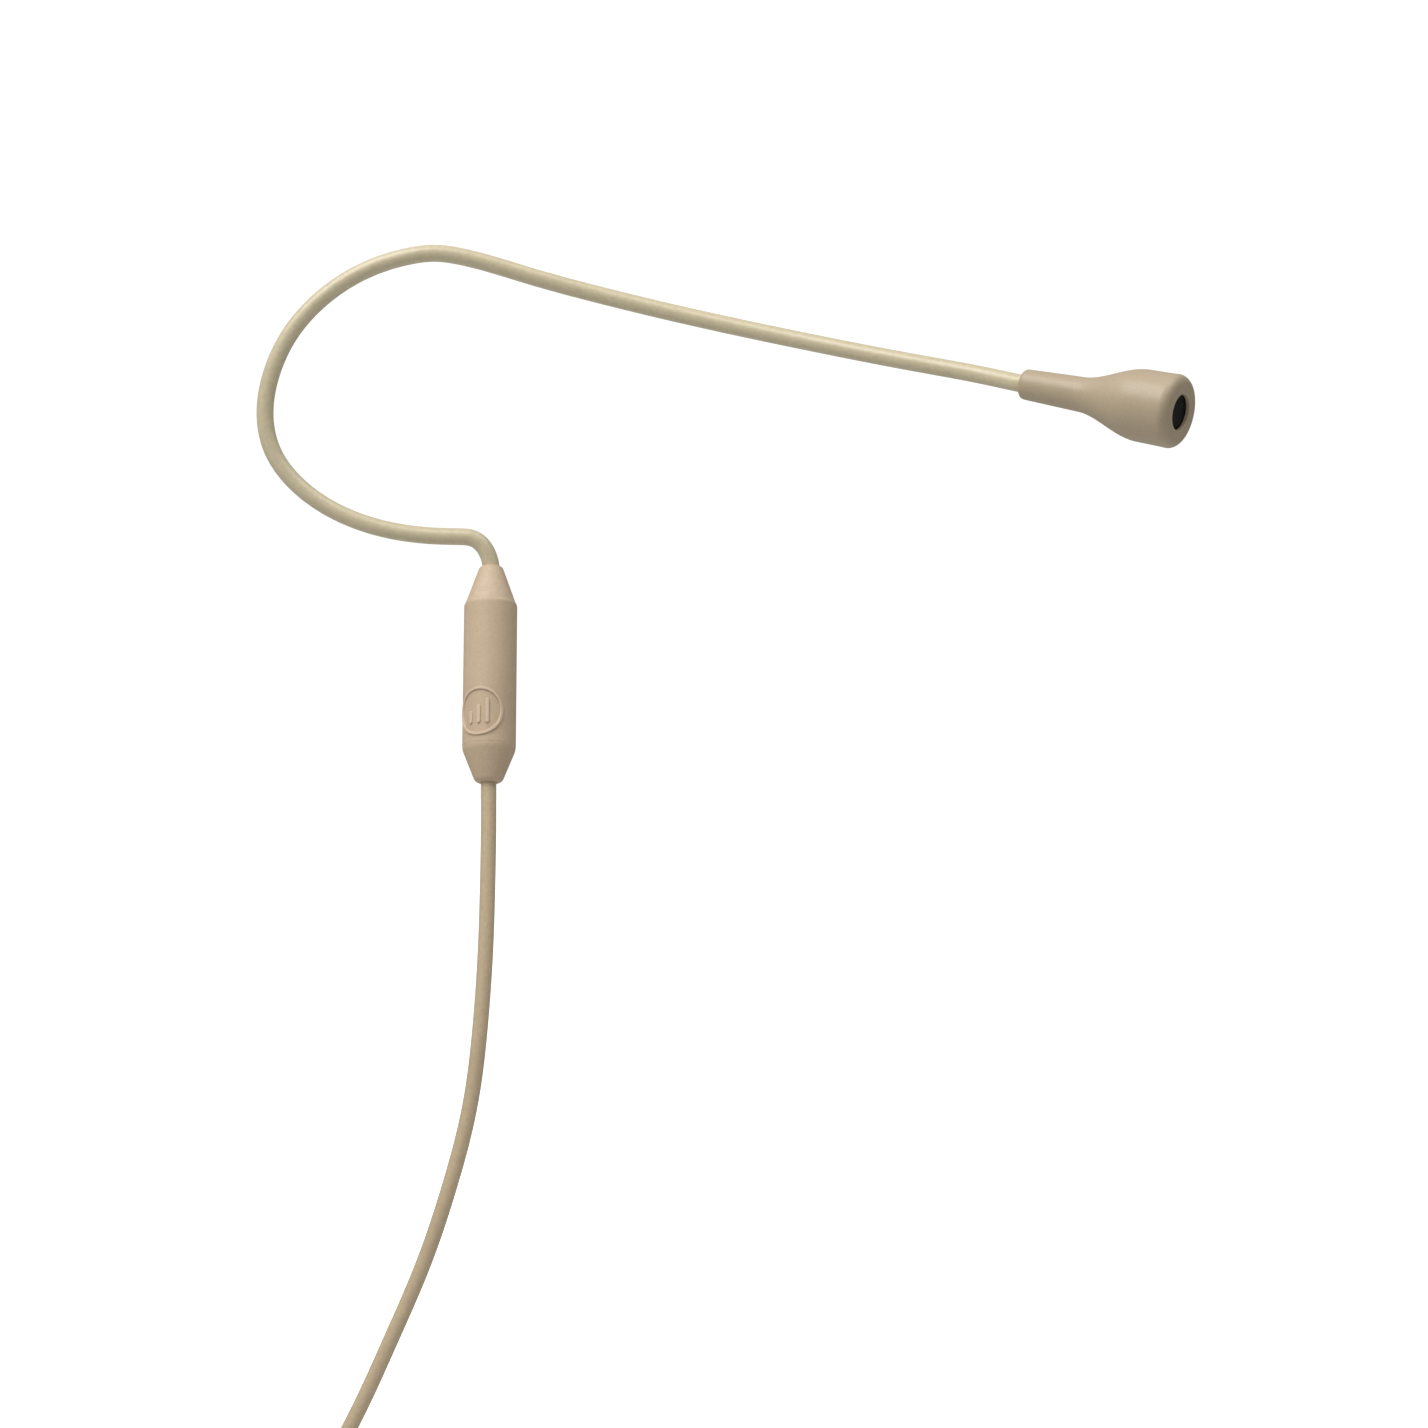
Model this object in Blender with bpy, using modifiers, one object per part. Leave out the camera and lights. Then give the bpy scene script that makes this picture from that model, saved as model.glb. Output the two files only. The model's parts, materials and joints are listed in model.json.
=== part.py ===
"""Single-ear headset microphone, modelled in metres with +Z up.

The formable wire hooks over one ear and runs forward as the boom to the microphone capsule. Under the
hook a slim junction joins the wire to a soft cable, which hangs down, is wound into a tied coil and
ends in a four-pin push-pull plug. The origin is the underside of the hook's crown, where the ear
carries it. +X points forward along the boom, +Z up, and the boom curves towards -Y round the cheek.
"""

import math

import bmesh
import bpy
import numpy as np
from mathutils import Matrix, Vector

# Formable wire: a steel core and a coaxial lead, side by side in one sheath
SHEATH_D = 0.00245
SHEATH_WALL = 0.0003
CORE_D = 0.0007
LEAD_D = 0.0005
PIVOT_GAP = 0.0010
WIRE_FIT = 0.00015

# Middle line of the wire from the junction's mouth over the ear and along the boom to the boot
HOOK_ROUTE = [
    (0.0077, 0.0000, -0.0422),
    (0.0067, 0.0000, -0.0408),
    (0.0055, 0.0000, -0.0401),
    (0.0038, 0.0000, -0.0399),
    (0.0003, 0.0000, -0.0398),
    (-0.0067, 0.0000, -0.0389),
    (-0.0133, 0.0000, -0.0367),
    (-0.0192, 0.0000, -0.0329),
    (-0.0235, 0.0000, -0.0272),
    (-0.0245, 0.0000, -0.0220),
    (-0.0237, 0.0000, -0.0167),
    (-0.0208, 0.0000, -0.0104),
    (-0.0161, 0.0000, -0.0052),
    (-0.0102, 0.0000, -0.0014),
    (-0.0035, 0.0000, 0.0008),
    (0.0000, 0.0000, 0.0012),
    (0.0035, 0.0000, 0.0008),
    (0.0069, 0.0000, 0.0000),
]
BOOM_ROUTE = [
    (0.0136, 0.0000, -0.0020),
    (0.0237, -0.0003, -0.0048),
    (0.0389, -0.0024, -0.0087),
    (0.0540, -0.0063, -0.0124),
    (0.0688, -0.0120, -0.0160),
    (0.0784, -0.0169, -0.0184),
]

# Pivots that stand for bending the wire, each named by the point of the route nearest to it
HOOK_FLEX_NEAR = (-0.0245, 0.0000, -0.0220)
BOOM_PITCH_NEAR = (0.0100, 0.0000, -0.0010)
BOOM_SWING_NEAR = (0.0200, 0.0000, -0.0040)
TIP_BEND_BEFORE_BOOT = 0.0085

# The middle line goes on straight inside the junction and inside the boot
ROUTE_PAST_LEAD = 0.0019
ROUTE_IN_JUNCTION = (0.0070, 0.0030)
ROUTE_IN_BOOT = (0.0040, 0.0090, 0.0140)
ROUTE_END_BEFORE_FACE = 0.0055

# Spacing of the points along each stretch of the wire
WIRE_STEPS = {
    "lower_hook": 0.0018,
    "upper_hook": 0.0028,
    "boom_root": 0.0030,
    "boom": 0.0055,
    "tip": 0.0040,
}

# Capsule: a soft boot over a back-electret element
BOOT_START = (0.0835, -0.0210, -0.0200)
BOOT_AXIS = (0.8148, -0.5377, -0.2151)
BOOT_LENGTH = 0.0242
BOOT_NECK_D = 0.0042
BOOT_NECK_GROWTH = 0.0003
BOOT_HEAD_D = 0.01005
BOOT_HEAD_GROWTH = 0.0001
BOOT_FLARE_START = 0.0088
BOOT_FLARE_LENGTH = 0.0098
BOOT_NOSE_RADIUS = 0.0013
BOOT_TAIL_RADIUS = 0.0003
BOOT_MOUTH_D = 0.00485
BOOT_LIP = 0.00055
NOSE_STEPS = 5
FLARE_STEPS = 8
ELEMENT_D = 0.0060
ELEMENT_LENGTH = 0.0054
ELEMENT_WALL = 0.00025
SOUND_HOLE_D = 0.0022
ELEMENT_FIT = 0.0002
STACK_GAP = 0.00015
SCREEN_RING_THICKNESS = 0.0006
SCREEN_THICKNESS = 0.0003
DIAPHRAGM_THICKNESS = 0.00025
SPACER_THICKNESS = 0.0003
SPACER_WALL = 0.0005
BACK_PLATE_THICKNESS = 0.0005
BACK_PLATE_HOLE_D = 0.0008
INSULATOR_HEIGHT = 0.0016
INSULATOR_WALL = 0.0005
FET_BOARD_THICKNESS = 0.0008
FERRULE_START = 0.0083
FERRULE_LENGTH = 0.0046
FERRULE_D = 0.0034

# Junction between the wire and the cable: a barrel between two conical caps
JUNCTION_TOP = (0.0083, 0.0000, -0.0443)
JUNCTION_AXIS = (0.0062, -0.2492, -0.9684)
JUNCTION_LENGTH = 0.0321
JUNCTION_D = 0.00766
JUNCTION_END_D = 0.0033
JUNCTION_CONE = 0.0053
BARREL_WALL = 0.00085
BARREL_CHAMFER = 0.00025
SPIGOT_LENGTH = 0.0030
SPIGOT_FIT = 0.0002
SEAM = 0.0001
CAP_EDGE = 0.0002
ANCHOR_LENGTH = 0.0022
ANCHOR_D = 0.0052
END_STEP = 0.0005
BOARD_WIDTH = 0.0040
BOARD_THICKNESS = 0.0008
SPLICE_LENGTH = 0.0020
SPLICE_D = 0.0005
SPLICE_SPREAD = 0.0010
CAPACITOR_SIZE = (0.0012, 0.0006, 0.0020)
CAPACITOR_SPREAD = 0.0011
SOLDER_GAP = 0.00005

# Cable: a soft jacket, its middle line given from the junction's lower end to where it lands
CABLE_D = 0.0022
CABLE_FIT = 0.00015
CABLE_STEP = 0.0050
CABLE_ROUTE = [
    (0.0001, -0.0014, -0.0058),
    (0.0001, -0.0028, -0.0126),
    (-0.0001, -0.0047, -0.0235),
    (-0.0007, -0.0060, -0.0336),
    (-0.0021, -0.0071, -0.0451),
    (-0.0049, -0.0080, -0.0563),
    (-0.0086, -0.0088, -0.0673),
    (-0.0128, -0.0094, -0.0771),
    (-0.0185, -0.0102, -0.0893),
    (-0.0259, -0.0111, -0.1001),
    (-0.0375, -0.0121, -0.1080),
    (-0.0487, -0.0125, -0.1107),
]

# Stored length: a round coil of four layers, tied once
COIL_MEAN_D = 0.0264
COIL_LAYERS = 4
COIL_TURNS_PER_LAYER = 3.5
COIL_PITCH = 0.00224
COIL_ENTRY = (-0.0532, -0.0125, -0.1107)
COIL_CORNER = 0.0008
TIE_WIDTH = 0.0050
TIE_THICKNESS = 0.0006
TIE_FIT = 0.0003
TIE_FIT_INSIDE = 0.0005
TOUCH_GAP = 0.0003

# Plug: a four-pin round plug with a sprung locking sleeve, lying along +X beside the coil
PLUG_OFFSET = (0.0300, 0.0090)
PLUG_LIFT = 0.0050
TAIL_BOW_SHARE = 0.30
TAIL_BOW_SIDE = 0.0009
TAIL_BOW_HEIGHT = 0.0004
TAIL_STRAIGHT = 0.0060
RELIEF_LENGTH = 0.0132
RELIEF_TAIL_D = 0.0035
RELIEF_HEAD_D = 0.0054
RELIEF_FLANGE_D = 0.0066
RELIEF_FLANGE = 0.0015
NUT_LENGTH = 0.0095
NUT_D = 0.0088
NUT_WALL = 0.0007
NUT_FLOOR = 0.0007
NUT_EDGE = 0.0005
CLAMP_LENGTH = 0.0036
CLAMP_D = 0.0062
COLLAR_LENGTH = 0.0040
NOSE_D = 0.0072
NOSE_WALL = 0.0006
NOSE_LENGTH = 0.0177
NOSE_EDGE = 0.0003
SLEEVE_D = 0.0098
SLEEVE_BORE_FIT = 0.0003
SLEEVE_LENGTH = 0.0112
SLEEVE_STROKE = 0.0016
SLEEVE_COUNTERBORE = 0.0044
SLEEVE_COUNTERBORE_WALL = 0.0004
SLEEVE_EDGE = 0.0004
SPRING_WIRE_D = 0.00035
SPRING_TURNS = 4.5
INSERT_LENGTH = 0.0100
INSERT_FIT = 0.0003
INSERT_RECESS = 0.0040
PIN_COUNT = 4
PIN_D = 0.0007
PIN_CIRCLE_D = 0.0029
PIN_FIT = 0.00015
PIN_TAIL = 0.0016
PIN_REACH = 0.0032
PLUG_LEAD_D = 0.0005
PLUG_LEAD_SPREAD = 0.0004
PLUG_LEAD_STRAIGHT_SHARE = 0.3
PLUG_LEAD_STEP = 0.0012

# Facets round the turned and round pieces
FINE_STEPS = 32
ROUND_STEPS = 24
SMALL_STEPS = 16
PIN_STEPS = 12
SHARP_ANGLE = math.radians(35)

# Colours (linear), roughness and metallic value of each finish
FINISHES = {
    "sheath_elastomer": ((0.52, 0.46, 0.34), 0.38, 0.0),
    "boot_silicone": ((0.50, 0.41, 0.31), 0.55, 0.0),
    "moulded_shell": ((0.46, 0.38, 0.29), 0.62, 0.0),
    "cable_jacket": ((0.46, 0.38, 0.27), 0.50, 0.0),
    "spring_steel": ((0.56, 0.57, 0.58), 0.30, 1.0),
    "lead_jacket": ((0.60, 0.60, 0.58), 0.45, 0.0),
    "element_metal": ((0.60, 0.58, 0.54), 0.28, 1.0),
    "screen_mesh": ((0.03, 0.035, 0.03), 0.60, 0.5),
    "diaphragm_film": ((0.70, 0.62, 0.40), 0.25, 1.0),
    "black_plastic": ((0.02, 0.02, 0.02), 0.45, 0.0),
    "circuit_board": ((0.02, 0.12, 0.05), 0.45, 0.0),
    "capacitor_body": ((0.35, 0.24, 0.14), 0.40, 0.0),
    "crimp_brass": ((0.70, 0.52, 0.24), 0.32, 1.0),
    "tie_fabric": ((0.03, 0.03, 0.03), 0.85, 0.0),
    "plug_metal": ((0.42, 0.42, 0.43), 0.30, 1.0),
    "plug_rubber": ((0.03, 0.03, 0.03), 0.60, 0.0),
    "pin_gold": ((0.83, 0.62, 0.25), 0.22, 1.0),
}

materials = {}


def clear_scene():
    """Removes every object, so that the model starts from an empty scene."""
    for obj in list(bpy.data.objects):
        bpy.data.objects.remove(obj)


def make_collection(name):
    group = bpy.data.collections.new(name)
    bpy.context.scene.collection.children.link(group)
    return group


def finish(name):
    """Returns the finish's material, made once from its row in FINISHES."""
    if name not in materials:
        colour, roughness, metallic = FINISHES[name]
        made = bpy.data.materials.new(name)
        made.use_nodes = True
        shader = made.node_tree.nodes["Principled BSDF"]
        shader.inputs["Base Color"].default_value = (*colour, 1.0)
        shader.inputs["Roughness"].default_value = roughness
        shader.inputs["Metallic"].default_value = metallic
        made.diffuse_color = (*colour, 1.0)
        materials[name] = made
    return materials[name]


def make_pivot(name, place):
    """Adds an empty on a joint's axis, which carries the pieces that the joint moves."""
    empty = bpy.data.objects.new(name, None)
    empty.empty_display_size = 0.004
    empty.location = place
    parts.objects.link(empty)
    return empty


def add_piece(name, data, look, pivot, place=None):
    """Links an object under its pivot, with its world matrix given by place."""
    obj = bpy.data.objects.new(name, data)
    parts.objects.link(obj)
    obj.parent = pivot
    world = Matrix.Translation(pivot.location) if place is None else place
    obj.matrix_basis = Matrix.Translation(pivot.location).inverted() @ world
    data.materials.append(finish(look))
    return obj


def frame_along(origin, direction):
    """World matrix whose local +Z runs along the direction from the origin, with local +X near -Y."""
    z_axis = Vector(direction).normalized()
    x_axis = Vector((0.0, -1.0, 0.0))
    x_axis = (x_axis - x_axis.dot(z_axis) * z_axis).normalized()
    y_axis = z_axis.cross(x_axis)
    turn = Matrix((x_axis, y_axis, z_axis)).transposed().to_4x4()
    return Matrix.Translation(origin) @ turn


def shade(mesh):
    """Smooth shading with the real edges kept sharp."""
    mesh.shade_smooth()
    mesh.set_sharp_from_angle(angle=SHARP_ANGLE)


# Smooth routes


class Route:
    """A natural cubic curve through points, read by distance along it."""

    def __init__(self, points, samples=6000):
        knots = np.array(points, float)
        spans = np.linalg.norm(np.diff(knots, axis=0), axis=1)
        at = np.concatenate([[0.0], np.cumsum(spans)])
        count = len(knots)
        system = np.eye(count)
        right = np.zeros((count, 3))
        for i in range(1, count - 1):
            system[i, i - 1] = spans[i - 1]
            system[i, i] = 2 * (spans[i - 1] + spans[i])
            system[i, i + 1] = spans[i]
            slope_after = (knots[i + 1] - knots[i]) / spans[i]
            slope_before = (knots[i] - knots[i - 1]) / spans[i - 1]
            right[i] = 6 * (slope_after - slope_before)
        bend = np.linalg.solve(system, right)
        where = np.linspace(0.0, at[-1], samples)
        span = np.clip(np.searchsorted(at, where, side="right") - 1, 0, count - 2)
        width = spans[span][:, None]
        ahead = (at[span + 1] - where)[:, None]
        behind = (where - at[span])[:, None]
        curve = bend[span] * ahead**3 / (6 * width) + bend[span + 1] * behind**3 / (6 * width)
        line_a = (knots[span] / width - bend[span] * width / 6) * ahead
        line_b = (knots[span + 1] / width - bend[span + 1] * width / 6) * behind
        self.points = curve + line_a + line_b
        steps = np.linalg.norm(np.diff(self.points, axis=0), axis=1)
        self.distance = np.concatenate([[0.0], np.cumsum(steps)])
        self.length = self.distance[-1]

    def at(self, distance):
        """Points at the distances along the curve."""
        return np.stack([np.interp(distance, self.distance, self.points[:, i]) for i in range(3)], -1)

    def direction(self, distance):
        """Unit direction of the curve at the distances."""
        near = 0.00005
        ahead = self.at(np.minimum(np.asarray(distance) + near, self.length))
        behind = self.at(np.maximum(np.asarray(distance) - near, 0.0))
        step = ahead - behind
        return step / np.linalg.norm(step, axis=-1, keepdims=True)

    def nearest(self, point):
        """Distance along the curve of its point nearest to the given one."""
        return self.distance[np.argmin(np.linalg.norm(self.points - np.array(point), axis=1))]

    def stretch(self, start, end, step, aside=0.0):
        """Evenly spaced points from start to end, moved aside towards +Y across the curve."""
        count = max(2, int(math.ceil((end - start) / step)) + 1)
        distance = np.linspace(start, end, count)
        points = self.at(distance)
        along = self.direction(distance)
        across = np.array([0.0, 1.0, 0.0]) - along[:, 1:2] * along
        across /= np.linalg.norm(across, axis=1, keepdims=True)
        return points + aside * across


# Shapes


def add_curve(name, points, diameter, look, pivot, filled=True, resolution=2):
    """A round rod along the points; an open tube where it isn't filled."""
    data = bpy.data.curves.new(name, "CURVE")
    data.dimensions = "3D"
    data.bevel_depth = diameter / 2
    data.bevel_resolution = resolution
    data.use_fill_caps = filled
    spline = data.splines.new("POLY")
    spline.points.add(len(points) - 1)
    local = points - np.array(pivot.location)
    spline.points.foreach_set("co", np.column_stack([local, np.ones(len(points))]).ravel())
    spline.use_smooth = True
    return add_piece(name, data, look, pivot)


def add_sheath(name, points, look, pivot):
    """An open tube of the sheath's diameter, given its wall inwards."""
    obj = add_curve(name, points, SHEATH_D, look, pivot, filled=False, resolution=4)
    wall = obj.modifiers.new("wall", "SOLIDIFY")
    wall.thickness = SHEATH_WALL
    wall.offset = -1.0
    wall.use_even_offset = True
    return obj


def add_turned(name, profile, look, pivot, place, steps=ROUND_STEPS):
    """Turns a closed loop of (radius, height) points about local Z; the outer side runs downwards."""
    mesh = bpy.data.meshes.new(name)
    verts = [(radius, 0.0, height) for radius, height in profile]
    edges = [(i, (i + 1) % len(profile)) for i in range(len(profile))]
    mesh.from_pydata(verts, edges, [])
    obj = add_piece(name, mesh, look, pivot, place)
    screw = obj.modifiers.new("turn", "SCREW")
    screw.axis = "Z"
    screw.angle = math.tau
    screw.steps = steps
    screw.render_steps = steps
    screw.use_merge_vertices = True
    screw.merge_threshold = 0.00001
    screw.use_smooth_shade = False
    return obj


def add_ring(name, outer_d, inner_d, low, high, look, pivot, place, steps=SMALL_STEPS):
    """A plain ring between two heights."""
    outer = outer_d / 2
    inner = inner_d / 2
    profile = [(outer, high), (outer, low), (inner, low), (inner, high)]
    return add_turned(name, profile, look, pivot, place, steps)


def add_disc(name, diameter, low, high, look, pivot, place, steps=SMALL_STEPS):
    """A solid disc or pin between two heights."""
    mesh = bpy.data.meshes.new(name)
    form = bmesh.new()
    shift = Matrix.Translation((0.0, 0.0, (low + high) / 2))
    bmesh.ops.create_cone(
        form, cap_ends=True, segments=steps, radius1=diameter / 2, radius2=diameter / 2,
        depth=high - low, matrix=shift,
    )
    form.to_mesh(mesh)
    form.free()
    shade(mesh)
    return add_piece(name, mesh, look, pivot, place)


def add_block(name, size, centre, look, pivot, place):
    """A rectangular block about its centre."""
    mesh = bpy.data.meshes.new(name)
    form = bmesh.new()
    scale = Matrix.Diagonal((*size, 1.0))
    bmesh.ops.create_cube(form, size=1.0, matrix=Matrix.Translation(centre) @ scale)
    form.to_mesh(mesh)
    form.free()
    return add_piece(name, mesh, look, pivot, place)


def cut(obj, cutter):
    """Takes the cutter out of the piece and files the cutter with the others."""
    parts.objects.unlink(cutter)
    cutters.objects.link(cutter)
    cutter.hide_render = True
    cutter.display_type = "WIRE"
    boolean = obj.modifiers.new("cut", "BOOLEAN")
    boolean.operation = "DIFFERENCE"
    boolean.solver = "EXACT"
    boolean.object = cutter


# Formable wire


def along(origin, direction, distance):
    """Point at a distance from the origin along the direction."""
    return tuple(Vector(origin) + Vector(direction).normalized() * distance)


def wire_route():
    """The wire's whole middle line, from inside the junction to inside the boot."""
    deepest = junction_levels()["board"] + ROUTE_PAST_LEAD
    junction_depths = (deepest, *ROUTE_IN_JUNCTION)
    boot_depths = (*ROUTE_IN_BOOT, BOOT_LENGTH - ROUTE_END_BEFORE_FACE)
    inside_junction = [along(JUNCTION_TOP, JUNCTION_AXIS, depth) for depth in junction_depths]
    inside_boot = [along(BOOT_START, BOOT_AXIS, depth) for depth in boot_depths]
    return Route(
        inside_junction + [JUNCTION_TOP] + HOOK_ROUTE + BOOM_ROUTE + [BOOT_START] + inside_boot
    )


def strand_offsets():
    """Sideways places of the core and the lead, which share the sheath's bore evenly."""
    bore = SHEATH_D / 2 - SHEATH_WALL
    gap = (2 * bore - CORE_D - LEAD_D) / 3
    return bore - gap - CORE_D / 2, -(bore - gap - LEAD_D / 2)


def build_wire(route, pivots, places, junction_depths, boot_depths):
    """Sheath, core and lead of each stretch between two pivots."""
    core_aside, lead_aside = strand_offsets()
    mouth = route.nearest(JUNCTION_TOP)
    boot = route.nearest(BOOT_START)
    last = len(WIRE_STEPS) - 1
    for strand in ("sheath", "core_wire", "lead"):
        depth_in = junction_depths[strand]
        depth_out = boot_depths[strand]
        bounds = [mouth - depth_in, *places, boot + depth_out]
        for i, (name, step) in enumerate(WIRE_STEPS.items()):
            start = bounds[i] + (PIVOT_GAP / 2 if i else 0.0)
            end = bounds[i + 1] - (PIVOT_GAP / 2 if i < last else 0.0)
            if strand == "sheath":
                points = route.stretch(start, end, step)
                add_sheath(f"{name}_sheath", points, "sheath_elastomer", pivots[i])
            elif strand == "core_wire":
                points = route.stretch(start, end, step, core_aside)
                add_curve(f"{name}_core_wire", points, CORE_D, "spring_steel", pivots[i])
            else:
                points = route.stretch(start, end, step, lead_aside)
                add_curve(f"{name}_lead", points, LEAD_D, "lead_jacket", pivots[i])


# Capsule


def smoothstep(share):
    share = min(max(share, 0.0), 1.0)
    return share * share * (3 - 2 * share)


def boot_radius(depth):
    """Outer radius of the boot at a depth from its tail: a slim neck that flares into the head."""
    flare = smoothstep((depth - BOOT_FLARE_START) / BOOT_FLARE_LENGTH)
    neck = BOOT_NECK_D / 2 + BOOT_NECK_GROWTH * min(depth / BOOT_FLARE_START, 1.0)
    flare_end = BOOT_FLARE_START + BOOT_FLARE_LENGTH
    beyond = max(0.0, (depth - flare_end) / (BOOT_LENGTH - flare_end))
    head = BOOT_HEAD_D / 2 - BOOT_HEAD_GROWTH * (1.0 - beyond)
    return neck + (head - neck) * flare


def boot_inside():
    """Depths of the boot's inner steps: ferrule room, element room and the shoulder behind the lip."""
    shoulder = BOOT_LENGTH - BOOT_LIP
    element_front = shoulder - SCREEN_RING_THICKNESS - SCREEN_THICKNESS - 4 * STACK_GAP
    element_rear = element_front - ELEMENT_LENGTH
    return shoulder, element_front, element_rear


def build_boot(pivot, place):
    shoulder, _, element_rear = boot_inside()
    nose = BOOT_LENGTH - BOOT_NOSE_RADIUS
    face_radius = BOOT_HEAD_D / 2 - BOOT_NOSE_RADIUS
    outer = []
    for i in range(NOSE_STEPS + 1):
        turn = math.radians(90) * (1 - i / NOSE_STEPS)
        radius = face_radius + BOOT_NOSE_RADIUS * math.cos(turn)
        outer.append((radius, nose + BOOT_NOSE_RADIUS * math.sin(turn)))
    flare_end = BOOT_FLARE_START + BOOT_FLARE_LENGTH
    for i in range(FLARE_STEPS + 1):
        depth = flare_end - BOOT_FLARE_LENGTH * i / FLARE_STEPS
        outer.append((boot_radius(depth), depth))
    outer.append((boot_radius(BOOT_TAIL_RADIUS), BOOT_TAIL_RADIUS))
    outer.append((BOOT_NECK_D / 2 - BOOT_TAIL_RADIUS, 0.0))
    neck_bore = SHEATH_D / 2 + WIRE_FIT
    ferrule_room = FERRULE_D / 2 + ELEMENT_FIT
    element_room = ELEMENT_D / 2 + ELEMENT_FIT
    mouth = BOOT_MOUTH_D / 2
    inner = [
        (neck_bore, 0.0),
        (neck_bore, FERRULE_START - STACK_GAP),
        (ferrule_room, FERRULE_START - STACK_GAP),
        (ferrule_room, element_rear - STACK_GAP),
        (element_room, element_rear - STACK_GAP),
        (element_room, shoulder),
        (mouth, shoulder),
        (mouth, BOOT_LENGTH),
    ]
    add_turned("capsule_boot", outer + inner, "boot_silicone", pivot, place, FINE_STEPS)


def build_element(pivot, place):
    """The back-electret element: its can and, inside it from the front, what turns sound to voltage."""
    shoulder, front, rear = boot_inside()
    high = shoulder - STACK_GAP
    low = high - SCREEN_THICKNESS
    add_disc("acoustic_screen", ELEMENT_D, low, high, "screen_mesh", pivot, place, ROUND_STEPS)
    high = low - STACK_GAP
    low = high - SCREEN_RING_THICKNESS
    add_ring("screen_ring", ELEMENT_D, BOOT_MOUTH_D, low, high, "black_plastic", pivot, place)
    outside = ELEMENT_D / 2
    inside = outside - ELEMENT_WALL
    hole = SOUND_HOLE_D / 2
    can = [
        (outside, front),
        (outside, rear),
        (inside, rear),
        (inside, front - ELEMENT_WALL),
        (hole, front - ELEMENT_WALL),
        (hole, front),
    ]
    add_turned("element_can", can, "element_metal", pivot, place)
    stack_d = 2 * (inside - STACK_GAP)
    high = front - ELEMENT_WALL - STACK_GAP
    low = high - DIAPHRAGM_THICKNESS
    add_disc("diaphragm", stack_d, low, high, "diaphragm_film", pivot, place)
    high = low - STACK_GAP
    low = high - SPACER_THICKNESS
    add_ring("spacer_ring", stack_d, stack_d - 2 * SPACER_WALL, low, high, "black_plastic", pivot, place)
    high = low - STACK_GAP
    low = high - BACK_PLATE_THICKNESS
    add_ring("back_plate", stack_d, BACK_PLATE_HOLE_D, low, high, "element_metal", pivot, place)
    high = low - STACK_GAP
    low = high - INSULATOR_HEIGHT
    insulator_bore = stack_d - 2 * INSULATOR_WALL
    add_ring("insulator_cup", stack_d, insulator_bore, low, high, "black_plastic", pivot, place)
    high = low - STACK_GAP
    low = high - FET_BOARD_THICKNESS
    add_disc("fet_board", stack_d, low, high, "circuit_board", pivot, place)
    return low


def build_capsule(pivot, place):
    """Boot, element and crimp ferrule; returns how deep each strand of the wire reaches in the boot."""
    build_boot(pivot, place)
    board_rear = build_element(pivot, place)
    ferrule_end = FERRULE_START + FERRULE_LENGTH
    core_aside, lead_aside = strand_offsets()
    reach = max(core_aside + CORE_D / 2, LEAD_D / 2 - lead_aside)
    bore = 2 * (reach + WIRE_FIT)
    add_ring(
        "boom_ferrule", FERRULE_D, bore, FERRULE_START, ferrule_end, "crimp_brass", pivot, place
    )
    return {
        "sheath": FERRULE_START - 2 * STACK_GAP,
        "core_wire": ferrule_end - END_STEP,
        "lead": board_rear - STACK_GAP,
    }


# Junction


def junction_levels():
    """Depths below the junction's top of its seams and of what lies between the two spigots."""
    upper_spigot = JUNCTION_CONE + SPIGOT_LENGTH
    lower_spigot = JUNCTION_LENGTH - JUNCTION_CONE - SPIGOT_LENGTH
    levels = {"upper_spigot": upper_spigot, "lower_spigot": lower_spigot}
    levels["wire_anchor"] = upper_spigot + TOUCH_GAP
    levels["wire_anchor_end"] = levels["wire_anchor"] + ANCHOR_LENGTH
    levels["sheath_end"] = levels["wire_anchor_end"] + STACK_GAP
    levels["core_end"] = levels["sheath_end"] + END_STEP
    levels["lead_end"] = levels["core_end"] + END_STEP
    levels["board"] = levels["lead_end"] + STACK_GAP
    levels["cable_anchor_end"] = lower_spigot - TOUCH_GAP
    levels["cable_anchor"] = levels["cable_anchor_end"] - ANCHOR_LENGTH
    levels["cable_start"] = levels["cable_anchor"] - TOUCH_GAP
    levels["splice_end"] = levels["cable_start"] - STACK_GAP
    levels["splice"] = levels["splice_end"] - SPLICE_LENGTH
    levels["board_end"] = levels["splice"] - STACK_GAP
    return levels


def cap_profile(bore_d):
    """Half section of a cap: its narrow end at height 0, its cone and spigot below."""
    end = JUNCTION_END_D / 2
    wide = JUNCTION_D / 2 - BARREL_CHAMFER
    spigot = JUNCTION_D / 2 - BARREL_WALL - SPIGOT_FIT
    bore = bore_d / 2 + WIRE_FIT
    shoulder = -(JUNCTION_CONE - SEAM)
    return [
        (end - CAP_EDGE / 2, 0.0),
        (end + CAP_EDGE / 2, -CAP_EDGE),
        (wide, shoulder),
        (spigot, shoulder),
        (spigot, -(JUNCTION_CONE + SPIGOT_LENGTH)),
        (bore, -(JUNCTION_CONE + SPIGOT_LENGTH)),
        (bore, 0.0),
    ]


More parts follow.
